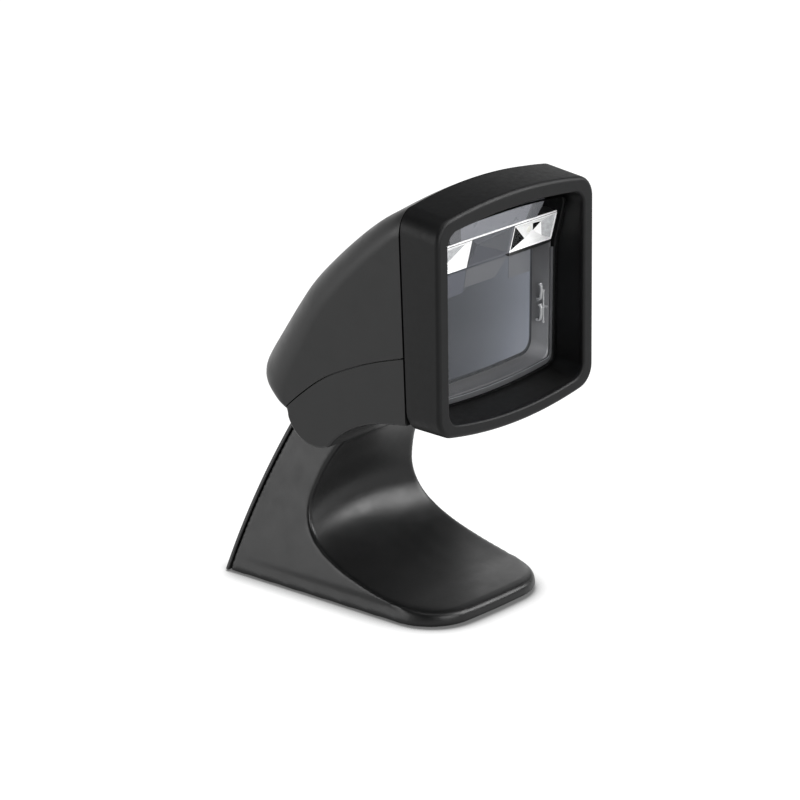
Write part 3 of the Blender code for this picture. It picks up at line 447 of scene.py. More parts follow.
def around(points, k):
    """The neighbours of a point in a line, or the point itself at either end."""
    return points[max(k - 1, 0)], points[min(k + 1, len(points) - 1)]


def mirrored(right):
    """The points of an outline's other half, from its last point back to its first."""
    return [Vector((-p.x, p.y, p.z)) for p in reversed(right)]


def piece(obj, body, slot, *nodes):
    """Finish a piece: attach it to its body and hide the CAD nodes that it stands for. The slot is
    not used.
    """
    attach(obj, body)
    if nodes:
        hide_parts(*nodes)


# ---------------------------------------------------------------- outlines

def front_y(z):
    return FRONT_Y + (z - LEVEL_Z) * math.tan(FRONT_LEAN)


def seam_y(z):
    return SEAM_Y + (z - LEVEL_Z) * math.tan(SEAM_LEAN)


def bowed_outline(width, top, bottom, rise, drop, corner, inset=0.0):
    """Rounded rectangle in (x, z) whose top bows up and whose bottom bows down."""
    edge_steps, corner_steps, wall_steps = 18, 14, 12
    half = width / 2 - inset
    radius = max(corner - inset, 0.4 * MM)

    def side(level, bow, up):
        curve = bow / (width / 2) ** 2
        lean = math.atan(2 * curve * (half - radius))
        touch = half - radius + radius * math.sin(lean)
        centre = level - up * (inset + curve * touch ** 2 + radius * math.cos(lean))
        points = []
        for k in range(edge_steps):
            x = touch * k / edge_steps
            points.append((x, level - up * (inset + curve * x ** 2)))
        for k in range(corner_steps + 1):
            angle = lean + (math.pi / 2 - lean) * k / corner_steps
            points.append((half - radius + radius * math.sin(angle),
                           centre + up * radius * math.cos(angle)))
        return points

    upper = side(top, rise, 1)
    lower = side(bottom, drop, -1)[::-1]
    high, low = upper[-1], lower[0]
    wall = [(high[0], high[1] + (low[1] - high[1]) * k / wall_steps) for k in range(1, wall_steps)]
    right = upper + wall + lower
    left = [(-x, z) for x, z in reversed(right[1:-1])]
    return right + left


def hood_outline(inset, draft=0.0):
    return bowed_outline(HEAD_WIDTH, HOOD_TOP + draft, HOOD_BOTTOM, HOOD_RISE, HOOD_DROP,
                         HOOD_CORNER, inset)


def opening_outline(inset=0.0):
    return bowed_outline(OPENING_WIDTH, OPENING_TOP, OPENING_BOTTOM, OPENING_RISE, OPENING_DROP,
                         OPENING_CORNER, inset)


def leaning(x, along, behind):
    """A point on the leaning plane of the window's upper part: up it, and behind it."""
    y = GLASS_Y - along * math.sin(KINK) + behind * math.cos(KINK)
    z = KINK_Z + along * math.cos(KINK) + behind * math.sin(KINK)
    return Vector((x, y, z))


# ---------------------------------------------------------------- head housing

def belly_sections():
    """Stations of the head's underside: round the pivot barrel, then forward to the hood."""
    rows = []
    centre = (PIVOT_Y / MM, PIVOT_Z / MM)
    radius = BARREL_RADIUS / MM
    steps = 30
    for k in range(steps + 1):
        angle = BARREL_FROM + (BARREL_TO - BARREL_FROM) * k / steps
        rows.append((centre[0] + radius * math.cos(angle), centre[1] + radius * math.sin(angle),
                     centre[0] + (radius - FILLET) * math.cos(angle),
                     centre[1] + (radius - FILLET) * math.sin(angle), FILLET, 0.0))
    belly = spline([rows[-1][:2]] + BELLY_STATIONS, SKIN_STEPS)[1:]
    for k, (y, z) in enumerate(belly):
        before, after = around(belly, k)
        run = math.hypot(after[0] - before[0], after[1] - before[1])
        inward = ((after[1] - before[1]) / run, -(after[0] - before[0]) / run)
        rows.append((y, z, y + FILLET * inward[0], z + FILLET * inward[1], FILLET, 0.0))
    return rows


def head_section(station):
    """One section of the head's skin, from cheek to cheek."""
    arc_steps, crown_steps = 14, 12
    crown_y, crown_z, cheek_y, cheek_z, rounding, bow = [v * MM for v in station]
    half = HEAD_WIDTH / 2
    away = Vector((0, crown_y - cheek_y, crown_z - cheek_z)).normalized()
    crown = Vector((0, crown_y, crown_z))
    flat = half - rounding
    shoulder = crown - away * bow * (flat / half) ** 2
    reach = shoulder - Vector((0, cheek_y, cheek_z))
    right = []
    for k in range(arc_steps + 1):
        angle = math.pi / 2 * k / arc_steps
        right.append(shoulder - reach * (1 - math.sin(angle))
                     + Vector((flat + rounding * math.cos(angle), 0, 0)))
    for k in range(1, crown_steps + 1):
        x = flat * (1 - k / crown_steps)
        right.append(crown - away * bow * (x / half) ** 2 + Vector((x, 0, 0)))
    return right + mirrored(right[:-1])


def column_point(column, t):
    """A point at a fractional row of a column."""
    k = min(int(t), len(column) - 2)
    return column[k].lerp(column[k + 1], t - k)


def crossing(column, inside, start, step):
    """Where a column leaves the wanted region, walking from start."""
    k = start
    while inside(column[k]) > 0:
        k += step
    a, b = column[k - step], column[k]
    va, vb = inside(a), inside(b)
    return (k - step) + step * va / (va - vb)


def parting_z(line, y):
    """Height of the parting line at a depth, carried straight on past its end."""
    for (y0, z0), (y1, z1) in zip(line, line[1:]):
        if y <= y1:
            return z0 + (z1 - z0) * (y - y0) / (y1 - y0)
    return z1 + (z1 - z0) / (y1 - y0) * (y - y1)


def head_shell(name, upper):
    """The upper or lower housing shell, cut cleanly at the hood seam and the parting line."""
    sections = [head_section(s)
                for s in spline(CROWN_STATIONS, SKIN_STEPS)[:-1] + belly_sections()]
    columns = list(zip(*sections))
    line = [(y * MM, z * MM) for y, z in spline(PARTING_STATIONS, 10)]
    sign = 1 if upper else -1
    lift = sign * 0.25 * MM

    def behind_seam(p):
        return p.y - seam_y(p.z) - GAP

    def on_side(p):
        return sign * (p.z - parting_z(line, p.y) - lift)

    if upper:
        inside, before, after, steps = SKIN_STEPS * 6, behind_seam, on_side, UPPER_ROWS
    else:
        inside, before, after, steps = len(sections) - 20, on_side, behind_seam, LOWER_ROWS
    rows = [[] for _ in range(steps + 1)]
    for column in columns:
        first = crossing(column, before, inside, -1)
        last = crossing(column, after, inside, 1)
        for k in range(steps + 1):
            rows[k].append(column_point(column, first + (last - first) * k / steps))
    bm = bmesh.new()
    grid = [[bm.verts.new(p) for p in row] for row in rows]
    for low, high in zip(grid, grid[1:]):
        for k in range(len(low) - 1):
            bm.faces.new((low[k], low[k + 1], high[k + 1], high[k]))
    for side in (0, -1):
        edge = [row[side] for row in grid]
        parting_end = edge[-1 if upper else 0].co.y
        path = [p for p in line if seam_y(p[1]) + GAP + 0.2 * MM < p[0] < parting_end - 0.1 * MM]
        for (y0, z0), (y1, z1) in zip(line, line[1:]):
            v0 = y0 - seam_y(z0 + lift) - GAP
            v1 = y1 - seam_y(z1 + lift) - GAP
            if v0 <= 0 < v1:
                t = v0 / (v0 - v1)
                seam_end = (y0 + (y1 - y0) * t, z0 + (z1 - z0) * t)
        curve = [bm.verts.new((edge[0].co.x, y, z + lift)) for y, z in [seam_end] + path]
        bm.faces.new(edge + curve[::-sign])
    bmesh.ops.recalc_face_normals(bm, faces=bm.faces)
    widest = max(bm.faces, key=lambda f: f.calc_center_median().x)
    if widest.normal.x < 0:
        bmesh.ops.reverse_faces(bm, faces=bm.faces)
    shell = finished(name, bm, HOUSING)
    wall = shell.modifiers.new("Wall", 'SOLIDIFY')
    wall.thickness = 1.4 * MM
    wall.offset = -1.0
    wall.use_even_offset = True
    rounded(shell, 0.22 * MM, 60)
    return settle(shell)


def button_frame():
    """The button's place on the crown line, and the direction that it faces."""
    before, spot, after = CROWN_STATIONS[2:5]
    run = Vector((0, after[0] - before[0], after[1] - before[1])).normalized()
    return Vector((0, spot[0] * MM, spot[1] * MM)), Vector((0, -run.z, run.y))


def upper_shell():
    shell = head_shell("shell_upper", True)
    spot, outward = button_frame()
    hole = rod("hole", BUTTON_RADIUS + GAP, spot - outward * 5 * MM, spot + outward * 4 * MM)
    window = cuboid("window", (13.6 * MM, 9.6 * MM, 14 * MM), (0, 26.0 * MM, 68 * MM))
    smooth(settle(shell, hole, window))
    piece(shell, "head", "housing", "upper_shell")


def lower_shell():
    shell = head_shell("shell_lower", False)
    tools = [cuboid("slot", (ARM_WIDTH + 1.4 * MM, 11.4 * MM, 18 * MM), (0, 8.7 * MM, 59 * MM))]
    for x, y in SCREW_SPOTS:
        tools.append(rod("hole", 2.9 * MM, (x, y, 50 * MM), (x, y, 78 * MM), 32))
    smooth(settle(shell, *tools))
    piece(shell, "head", "housing", "lower_shell")


# ---------------------------------------------------------------- hood and liner

def hood_ring(outline, y_of_z, shift):
    """An outline set on a leaning plane of the hood, moved back by a shift."""
    return [Vector((x, y_of_z(z) + shift, z)) for x, z in outline]


def hood():
    """The soft-touch hood, from the seam over its rounded face and back to the seam inside."""
    rings = [hood_ring(hood_outline(0.25 * MM, HOOD_DRAFT), seam_y, -GAP),
             hood_ring(hood_outline(0.08 * MM, HOOD_DRAFT), seam_y, -GAP - 0.08 * MM),
             hood_ring(hood_outline(0.0, HOOD_DRAFT), seam_y, -GAP - 0.3 * MM)]
    steps = 9
    for k in range(steps + 1):
        angle = math.pi / 2 * k / steps
        inset = HOOD_ROUND * (1 - math.cos(angle))
        rings.append(hood_ring(hood_outline(inset), front_y, HOOD_ROUND * (1 - math.sin(angle))))
    rounding = 0.9 * MM
    for k in range(steps):
        angle = math.pi / 2 * k / (steps - 1)
        rings.append(hood_ring(opening_outline(-rounding * (1 - math.sin(angle))), front_y,
                               rounding * (1 - math.cos(angle))))
    recess = -LINER_WALL - GAP
    rings.append(hood_ring(opening_outline(), front_y, LIP))
    rings.append(hood_ring(opening_outline(recess), front_y, LIP))
    rings.append(hood_ring(opening_outline(recess), seam_y, -GAP))
    obj = loft("hood_ring", rings, HOOD, closed=True)
    smooth(obj, 40)
    piece(obj, "head", "hood", "bezel")


def liner():
    """The gloss liner inside the hood, which splays towards the window."""
    outer = opening_outline(-LINER_WALL)
    back = bowed_outline(OPENING_WIDTH + 1.0 * MM, OPENING_TOP - 1.2 * MM, OPENING_BOTTOM + 2.0 * MM,
                         OPENING_RISE, OPENING_DROP - 0.9 * MM, OPENING_CORNER - 1.2 * MM)
    front = opening_outline(-0.3 * MM)
    rings = [hood_ring(outer, seam_y, -0.7 * MM), hood_ring(outer, front_y, LIP + GAP)]
    near = hood_ring(front, front_y, LIP + GAP)
    far = hood_ring(back, seam_y, -0.7 * MM)
    for k in range(9):
        rings.append([a.lerp(b, k / 8) for a, b in zip(near, far)])
    obj = loft("window_liner", rings, LINER, closed=True)
    smooth(obj, 40)
    piece(obj, "head", "gloss_black", "window_frame")


def seam_tongue():
    """The tongue inside the housing that closes the parting line between its shells."""
    reach = HEAD_WIDTH / 2 - 1.55 * MM
    line = [(y * MM, z * MM) for y, z in spline(PARTING_STATIONS, 6)]
    side = [p for p in line if seam_y(p[1]) + 1 * MM < p[0] < 13.4 * MM]
    last = (13.4 * MM, parting_z(line, 13.4 * MM))
    route = [Vector((reach, y, z)) for y, z in side]
    turn = 1.2 * MM
    for k in range(7):
        angle = math.pi / 2 * k / 6
        route.append(Vector((reach - turn * (1 - math.cos(angle)),
                             last[0] + turn * (math.sin(angle) - 1), last[1])))
    route += mirrored(route)
    rings = []
    for k, p in enumerate(route):
        before, after = around(route, k)
        run = (after - before).normalized()
        inward = Vector((-run.y, run.x, 0)).normalized() * 0.6 * MM
        up = run.cross(inward).normalized() * 1.6 * MM
        rings.append([p - up, p + inward - up, p + inward + up, p + up])
    obj = loft("seam_tongue", rings, BLACK)
    rounded(obj, 0.12 * MM)
    smooth(obj)
    piece(obj, "head", "black_plastic")


# ---------------------------------------------------------------- window and optics

def window_outline(inset):
    """The clear opening behind the liner, in (x, z)."""
    return bowed_outline(OPENING_WIDTH + 1.4 * MM, OPENING_TOP - 2.6 * MM, OPENING_BOTTOM + 2.1 * MM,
                         OPENING_RISE, OPENING_DROP - 0.9 * MM, OPENING_CORNER - 1.0 * MM, inset)


def window_point(x, z, behind):
    """A point at a height of the kinked window sheet, and behind its back face."""
    if z <= KINK_Z:
        return Vector((x, GLASS_Y + behind, z))
    along = (z - KINK_Z - behind * math.sin(KINK)) / math.cos(KINK)
    return leaning(x, max(along, 0.0), behind)


def window_sheet():
    """The clear window with its bend and a dark, softened edge."""
    steps = ((0.55, 0.0), (0.4, -0.15), (0.4, -1.05), (0.55, -1.2))
    bm = bmesh.new()
    rows = []
    for inset, behind in steps:
        ring = window_outline(inset * MM)
        rows.append([bm.verts.new(window_point(x, z, behind * MM)) for x, z in ring])
    for low, high in zip(rows, rows[1:]):
        for face in band(bm, low, high):
            face.material_index = 1
    middle = len(rows[0]) // 2
    for row in (rows[0], rows[-1]):
        right = row[:middle + 1]
        left = [row[0]] + row[:middle - 1:-1]
        for a, b in zip(range(len(right) - 1), range(len(left) - 1)):
            corners = [right[a], right[a + 1], left[b + 1], left[b]]
            unique = list(dict.fromkeys(corners))
            if len(unique) > 2:
                bm.faces.new(unique)
    bmesh.ops.recalc_face_normals(bm, faces=bm.faces)
    obj = finished("window_sheet", bm, WINDOW)
    obj.data.materials.append(LINER)
    smooth(obj, 30)
    piece(obj, "head", "clear_window", "front_window")


def window_seal():
    """The seal behind the window, with a pale bead, a painted highlight, along the bottom of its
    inner edge.
    """
    steps = [(0.5, 0.3), (2.1, 0.3), (2.22, 0.26), (2.3, 0.36), (2.3, 0.9), (0.5, 0.9)]
    rings = []
    for inset, behind in steps:
        spread = 1.027 if inset > 0.6 else 1.0
        rings.append([Vector((x * spread, GLASS_Y + behind * MM, min(z, KINK_Z - 1 * MM)))
                      for x, z in window_outline(inset * MM)])
    obj = loft("window_seal", rings, SEAL, closed=True)
    obj.data.materials.append(SEAL_HIGHLIGHT)
    count = len(rings[0])
    for k, poly in enumerate(obj.data.polygons):
        highlight_band = k // count in (1, 2) and poly.center.z < 77.5 * MM
        poly.material_index = 1 if highlight_band else 0
    settle(obj, cuboid("over", (80 * MM, 10 * MM, 40 * MM), (0, GLASS_Y, KINK_Z + 18.9 * MM)))
    smooth(obj, 30)
    piece(obj, "head", "rubber", "window_gasket")


def tray_ring(half, bottom, corner, y):
    """A level of the tray's mouth, with its round top corners carried up out of sight."""
    outline = bowed_outline(2 * half * MM, TRAY_TOP, bottom * MM, 0.0, 0.8 * MM, corner * MM)
    return [Vector((x, y * MM, z + (6 * MM if z > TRAY_TOP - 5 * MM else 0))) for x, z in outline]


def tray_trim():
    """The block that cuts the lifted top off the tray and its panel."""
    return cuboid("trim", (80 * MM, 40 * MM, 20 * MM), (0, -35 * MM, TRAY_TOP + 10 * MM))


def tray():
    """The moulded tray behind the window: a lip, splayed walls and a recessed floor."""
    profile = [(32.2, 74.7, 5.0, -26.5), (32.3, 74.6, 5.0, -35.0), (32.1, 74.8, 5.0, -35.12),
               (31.8, 75.4, 4.6, -35.12), (31.6, 75.7, 4.6, -34.9), (31.3, 76.0, 4.8, -33.4),
               (30.7, 76.5, 5.2, -31.2), (30.3, 76.8, 5.5, -29.3), (29.8, 77.2, 5.5, -29.0)]
    obj = loft("optics_tray", [tray_ring(*row) for row in profile], TRAY)
    hole = rod("hole", 6.6 * MM, (0, -32 * MM, 96 * MM), (0, -22 * MM, 96 * MM), 64)
    settle(obj, hole, tray_trim())
    smooth(obj, 30)
    piece(obj, "head", "tray_grey", "optical_chassis")


# Raised steps along the top of the inner panel, coloured as painted light patches: corners (x, z) in
# millimetres and finish
PANEL_STEPS = [
    ([(-27.4, 106.3), (-5.1, 106.3), (-3.7, 113.6), (-27.4, 113.6)], 3),
    ([(-4.7, 107.9), (10.3, 107.9), (16.3, 113.6), (-3.5, 113.6)], 2),
    ([(16.9, 105.9), (27.4, 105.9), (27.4, 113.6), (16.9, 113.6)], 2),
]


def inner_panel():
    """The tinted inner window, painted lighter towards its right and bottom, with its stepped rim
    painted dark as shade and its raised steps coloured as painted light patches.
    """
    profile = [(29.7, 77.2, 5.0, -29.3), (29.7, 77.2, 5.0, -29.75), (29.5, 77.4, 5.0, -29.9),
               (27.9, 78.6, 4.6, -29.95), (27.8, 78.7, 4.5, -30.35), (27.65, 78.85, 4.4, -30.5)]
    rings = [tray_ring(*row) for row in profile]
    obj = loft("inner_panel", rings, PANEL)
    for finish in (PANEL_RIM, PANEL_PAINTED_LIGHT, PANEL_PAINTED_BLUE_LIGHT):
        obj.data.materials.append(finish)
    walls = len(rings[0]) * (len(rings) - 1)
    for poly in obj.data.polygons[:walls]:
        poly.material_index = 1
    settle(obj, tray_trim())
    bm = bmesh.new()
    bm.from_mesh(obj.data)
    for corners, finish in PANEL_STEPS:
        near = [bm.verts.new((x * MM, PANEL_FACE - 0.12 * MM, z * MM)) for x, z in corners]
        far = [bm.verts.new((x * MM, PANEL_FACE + 0.05 * MM, z * MM)) for x, z in corners]
        for made in band(bm, near, far) + [bm.faces.new(near), bm.faces.new(far)]:
            made.material_index = finish
    bmesh.ops.recalc_face_normals(bm, faces=bm.faces)
    bm.to_mesh(obj.data)
    bm.free()
    smooth(obj, 30)
    piece(obj, "head", "dark_panel", "inner_window")


def facet_block(name, left, right, facets, points, finishes):
    """A lamp cup: a block behind the leaning plane whose face is folded into flat facets.

    points are (x, along, behind) in millimetres; a facet is its points and its finish.
    """
    bm = bmesh.new()
    made = [bm.verts.new(leaning(x * MM, a * MM, b * MM)) for x, a, b in points]
    back = [bm.verts.new(leaning(x, a, LAMP_DEPTH))
            for x, a in ((left, LAMP_LOW), (right, LAMP_LOW), (right, LAMP_HIGH), (left, LAMP_HIGH))]
    bm.faces.new(back)
    for side in band(bm, made[:4], back):
        side.material_index = len(finishes)
    for corners, finish in facets:
        face = bm.faces.new([made[k] for k in corners])
        face.material_index = finish
    bmesh.ops.recalc_face_normals(bm, faces=bm.faces)
    obj = finished(name, bm, finishes[0])
    for finish in finishes[1:] + (BLACK,):
        obj.data.materials.append(finish)
    return obj


def reflector(name, side, node_name):
    """A metallised cup with a white frame and a fan of facets about its emitter, each facet painted
    white, dark or grey as the reflection it shows.
    """
    inner, outer = LAMP_INNER / MM, LAMP_OUTER / MM
    low, high = LAMP_LOW / MM, LAMP_HIGH / MM
    rim = 0.55
    points = [(inner, low, 0.3), (outer, low, 0.3), (outer, high, 0.3), (inner, high, 0.3),
              (inner + rim, low + rim, 0.45), (outer - rim, low + rim, 0.45),
              (outer - rim, high - rim, 0.45), (inner + rim, high - rim, 0.45),
              (19.0, 4.2, 2.0), (11.9, 10.4, 1.2), (22.4, 9.9, 2.8), (24.6, 5.0, 3.6),
              (26.6, 8.2, 2.6), (27.4, 3.4, 1.8)]
    frame_faces = [((0, 1, 5, 4), 1), ((1, 2, 6, 5), 1), ((2, 3, 7, 6), 1), ((3, 0, 4, 7), 1)]
    # Finish of each facet: white (0), dark (2) or grey (3), painted reflections that differ on
    # either side.
    painted_reflection_tones = (2, 0, 0, 0, 0, 0, 0, 0, 0, 0, 2, 0, 3, 3) if side > 0 else \
            (0, 0, 0, 3, 3, 0, 3, 0, 0, 0, 3, 0, 0, 0)
    fan = [(4, 8, 9), (4, 9, 7), (4, 5, 13), (4, 13, 8), (8, 13, 11), (8, 11, 10), (8, 10, 9),
           (9, 10, 7), (7, 10, 12), (7, 12, 6), (10, 11, 12), (11, 13, 12), (13, 5, 12), (5, 6, 12)]
    facets = frame_faces + list(zip(fan, painted_reflection_tones))
    if side < 0:
        points = [(-x, a, b) for x, a, b in points]
    obj = facet_block(name, side * LAMP_INNER, side * LAMP_OUTER, facets, points,
                      (MIRROR, WHITE_RIM, MIRROR_SHADE, MIRROR_PAINTED_GREY))
    piece(obj, "head", "mirror", node_name)


def baffle():
    """The faceted recess between the two reflectors, its facets painted in lit and shaded greys."""
    half = LAMP_INNER / MM - 0.3
    low, high = LAMP_LOW / MM, LAMP_HIGH / MM
    points = [(-half, low, 0.3), (half, low, 0.3), (half, high, 0.3), (-half, high, 0.3),
              (-half + 0.5, low + 0.4, 0.6), (half - 0.5, low + 0.4, 0.6),
              (half - 0.5, high - 0.4, 0.6), (-half + 0.5, high - 0.4, 0.6), (-2.6, low + 4.6, 3.6)]
    facets = [((0, 1, 5, 4), 0), ((1, 2, 6, 5), 0), ((2, 3, 7, 6), 0), ((3, 0, 4, 7), 0),
              ((4, 5, 8), 2), ((5, 6, 8), 1), ((6, 7, 8), 0), ((7, 4, 8), 1)]
    obj = facet_block("centre_baffle", -LAMP_INNER + GAP, LAMP_INNER - GAP, facets, points,
                      (BAFFLE, BAFFLE_DARK, BAFFLE_SHADE))
    piece(obj, "head", "tray_grey", "center_baffle")


def pale_panel():
    """The pale trapezoid above the lamps: a flat middle and an angled strip at either end, the
    strips painted darker as shade.
    """
    low, high = 12.25, 18.0
    narrow, wide = 20.6, 23.2
    crease = (15.4, 17.3)

    def ring(behind):
        inner = behind + (0.0 if behind > 1 else 0.25)
        outline = [(-narrow, low, behind), (-crease[0], low, inner), (crease[0], low, inner),
                   (narrow, low, behind), (wide, high, behind), (crease[1], high, inner),
                   (-crease[1], high, inner), (-wide, high, behind)]
        return [leaning(x * MM, a * MM, b * MM) for x, a, b in outline]

    obj = loft("lamp_hood_panel", [ring(0.35), ring(1.8)], PALE)
    obj.data.materials.append(PALE_PAINTED_SHADE)
    bm = bmesh.new()
    bm.from_mesh(obj.data)
    caps = [f for f in bm.faces if len(f.verts) == 8]
    for cap in caps:
        v = sorted(cap.verts, key=lambda vert: vert.co.z)
        low_row = sorted(v[:4], key=lambda vert: vert.co.x)
        high_row = sorted(v[4:], key=lambda vert: vert.co.x)
        bm.faces.remove(cap)
        for k in range(3):
            strip = bm.faces.new((low_row[k], low_row[k + 1], high_row[k + 1], high_row[k]))
            strip.material_index = 0 if k == 1 else 1
    bmesh.ops.recalc_face_normals(bm, faces=bm.faces)
    bm.to_mesh(obj.data)
    bm.free()
    rounded(obj, 0.12 * MM, 25)
    smooth(obj, 12)
    piece(obj, "head", "pale_grey", "hood_panel")


def lamp_bead():
    """The bright moulded bead along the top of the lamps."""
    rings = []
    for x in (-30.8, -30.6, -12.0, 0.0, 12.0, 30.6, 30.8):
        radius = 0.16 if abs(x) > 30.7 else 0.3
        rings.append([leaning(x * MM, (11.92 + radius * math.sin(a)) * MM,
                              (0.62 + radius * math.cos(a)) * MM)
                      for a in [math.pi * k / 8 for k in range(16)]])
    obj = loft("lamp_bead", rings, WHITE_RIM)
    smooth(obj, 50)
    piece(obj, "head", "pale_grey")


def lamp_sill():
    """The dark ledge below the right lamp."""
    corners = ((10.4, 0.6), (30.8, 0.6), (30.8, 1.75), (10.4, 1.75))
    rings = [[leaning(x * MM, a * MM, behind * MM) for x, a in corners] for behind in (0.35, 3.2)]
    obj = loft("lamp_sill", rings, BLACK)
    rounded(obj, 0.15 * MM)
    smooth(obj)
    piece(obj, "head", "black_plastic")


def light_hook(name, low, node_name):
    """A small clear hook on the tray's right wall, with a bead at its tip."""
    x, y = 29.8, -32.6
    route = [(x, y + 1.2, low), (x, y - 0.4, low + 0.3), (x, y - 0.9, low + 2.0),
             (x, y - 0.9, low + 4.4), (x, y - 0.2, low + 5.6)]
    track = [Vector(p) * MM for p in spline(route, 5)]
    rings = []
    for k, p in enumerate(track):
        before, after = around(track, k)
        run = (after - before).normalized()
        across = Vector((1, 0, 0))
        up = run.cross(across).normalized()
        share = k / (len(track) - 1)
        bead = 0.3 * math.exp(-((share - 0.93) / 0.05) ** 2)
        radius = (0.5 + bead if 0 < k < len(track) - 1 else 0.2) * MM
        rings.append([p + (across * math.cos(a) + up * math.sin(a)) * radius
                      for a in [2 * math.pi * j / 14 for j in range(14)]])
    obj = loft(name, rings, CLEAR)
    smooth(obj, 60)
    piece(obj, "head", "clear_window", node_name)


def hook_rail():
    """The clear rail that joins the two hooks, with its cross bar and end knobs."""
    x, y = 30.5, -33.9
    profile = [(0.12, 0.0), (0.42, 0.12), (0.5, 0.5), (0.26, 0.9), (0.24, 5.0), (0.5, 5.4),
               (0.5, 5.9), (0.24, 6.3), (0.26, 10.4), (0.46, 10.8), (0.36, 11.2), (0.12, 11.3)]
    obj = turned("hook_rail", [(r * MM, h * MM) for r, h in profile],
                 (x * MM, y * MM, 88.4 * MM), (0, 0, 1), CLEAR, 20)
    smooth(obj, 50)
    bar = turned("hook_bar", [(0.1 * MM, 0), (0.3 * MM, 0.1 * MM), (0.3 * MM, 3.0 * MM),
                              (0.45 * MM, 3.3 * MM), (0.3 * MM, 3.7 * MM), (0.1 * MM, 3.75 * MM)],
                 (x * MM, -31.6 * MM, 94.1 * MM), (0.1, -1, 0), CLEAR, 20)
    smooth(bar, 50)
    piece(bar, "head", "clear_window")
    piece(obj, "head", "clear_window")


# ---------------------------------------------------------------- small parts

def screw(name, node_name, radius, height, body):
    """A pan-head screw that faces down, with a cross recess."""
    low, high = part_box(node_name)
    x, y = (low[0] + high[0]) / 2, (low[1] + high[1]) / 2
    shank = 1.2 * MM
    length = high[2] - low[2]
    profile = [(radius * 0.25, 0), (radius * 0.62, 0.04 * MM), (radius * 0.86, 0.16 * MM),
               (radius * 0.97, 0.34 * MM), (radius, 0.55 * MM), (radius, height), (shank, height),
               (shank, length - 0.3 * MM), (shank * 0.7, length)]
    obj = turned(name, profile, (x, y, low[2]), (0, 0, 1), STEEL, 40)
    depth = height * 1.1
    tools = []
    for turn in (0, math.pi / 2):
        tools.append(cuboid("recess", (radius * 1.15, radius * 0.24, depth),
                            (x, y, low[2] + depth / 2 - 0.2 * MM), STEEL,
                            Matrix.Rotation(turn + 0.5, 3, 'Z')))
    smooth(settle(obj, *tools), 40)
    piece(obj, body, "steel", node_name)


def foot_pad(name, node_name):
    """A rubber foot with a rounded rim and a shallow dish below."""
    low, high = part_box(node_name)
    x, y = (low[0] + high[0]) / 2, (low[1] + high[1]) / 2
    radius = (high[0] - low[0]) / 2
    tall = high[2] - low[2]
    profile = [(0.3 * MM, 0.25 * MM), (radius * 0.6, 0.22 * MM), (radius * 0.72, 0.02 * MM),
               (radius * 0.86, 0.0), (radius * 0.95, 0.08 * MM), (radius, 0.3 * MM), (radius, tall)]
    obj = turned(name, profile, (x, y, low[2]), (0, 0, 1), RUBBER, 56)
    smooth(obj, 35)
    piece(obj, "stand", "rubber", node_name)


def button_cap():
    """The top button: a domed rim round a shallow finger dish."""
    spot, outward = button_frame()
    profile = [(1.2, -4.6), (1.6, -4.5), (1.6, -4.0), (6.5, -4.0), (6.6, -3.9), (6.6, -3.3),
               (6.5, -3.2), (5.0, -3.2), (5.0, 0.55), (4.93, 0.82), (4.75, 1.02), (4.45, 1.15),
               (4.1, 1.2), (3.7, 1.14), (3.0, 0.98), (2.0, 0.82), (1.0, 0.74), (0.3, 0.72)]
    obj = turned("button_cap", [(r * MM, h * MM) for r, h in profile], spot, outward, HOUSING, 72)
    smooth(obj, 35)
    piece(obj, "button", "housing", "top_button")


def jack_contacts():
    """Ten gilt springs inside the data socket."""
    bm = bmesh.new()
    for k in range(10):
        x = (k - 4.5) * 0.9 * MM
        rows = []
        for y, z in ((28.6, 72.4), (28.5, 74.0), (27.4, 75.6), (26.2, 76.6)):
            rows.append([bm.verts.new((x + dx * MM, (y + dy) * MM, z * MM))
                         for dx, dy in ((-0.17, 0), (0.17, 0), (0.17, 0.14), (-0.17, 0.14))])
        for low, high in zip(rows, rows[1:]):
            band(bm, low, high)
        bm.faces.new(rows[0])
        bm.faces.new(rows[-1])
    bmesh.ops.recalc_face_normals(bm, faces=bm.faces)
    obj = finished("jack_contacts", bm, GOLD)
    smooth(obj, 40)
    piece(obj, "head", "steel")


# ---------------------------------------------------------------- stand

def back_y(z):
    return STAND_BACK - BACK_SLOPE * z - z * z / (2 * BACK_RADIUS)


def cheek_half(y, z):
    return CHEEK_HALF - CHEEK_LEAN * z + CHEEK_SPLAY * y


def stand_section(station, inset, back):
    """One level of the stand's body, dished at the front and open to the rear cover."""
    flat_steps, corner_steps = 18, 12
    height, front, corner, dish = [v * MM for v in station]
    half = cheek_half(front, height) - inset
    radius = min(corner, half * 0.9)
    flat = half - radius
    right = []
    for k in range(flat_steps + 1):
        x = flat * k / flat_steps
        right.append(Vector((x, front + inset + dish * (1 - (x / half) ** 2), height)))
    drop = right[-1].y
    for k in range(1, corner_steps + 1):
        angle = math.pi / 2 * k / corner_steps
        share = 1 - math.sin(angle)
        right.append(Vector((flat + radius * math.sin(angle),
                             front + inset + radius * (1 - math.cos(angle))
                             + (drop - front - inset) * share, height)))
    right.append(Vector((cheek_half(back, height) - inset, back, height)))
    return right + mirrored(right[1:])


def cavity_ring(height, front):
    """One level of the hollow inside the stand, open at the back, in millimetres."""
    y, z, back = front * MM, height * MM, 60 * MM
    wall = 2.2 * MM
    near = cheek_half(y, z) - wall
    corner = min(10 * MM, max(2 * MM, (10 - 10 * (height - 2.9) / 8) * MM))
    right = [Vector((near - corner, y, z)),
             Vector((near - corner * 0.3, y + corner * 0.3, z)), Vector((near, y + corner, z)),
             Vector((cheek_half(back, z) - wall, back, z))]
    left = mirrored(right)
    return left[-1:] + right + left[:-1]


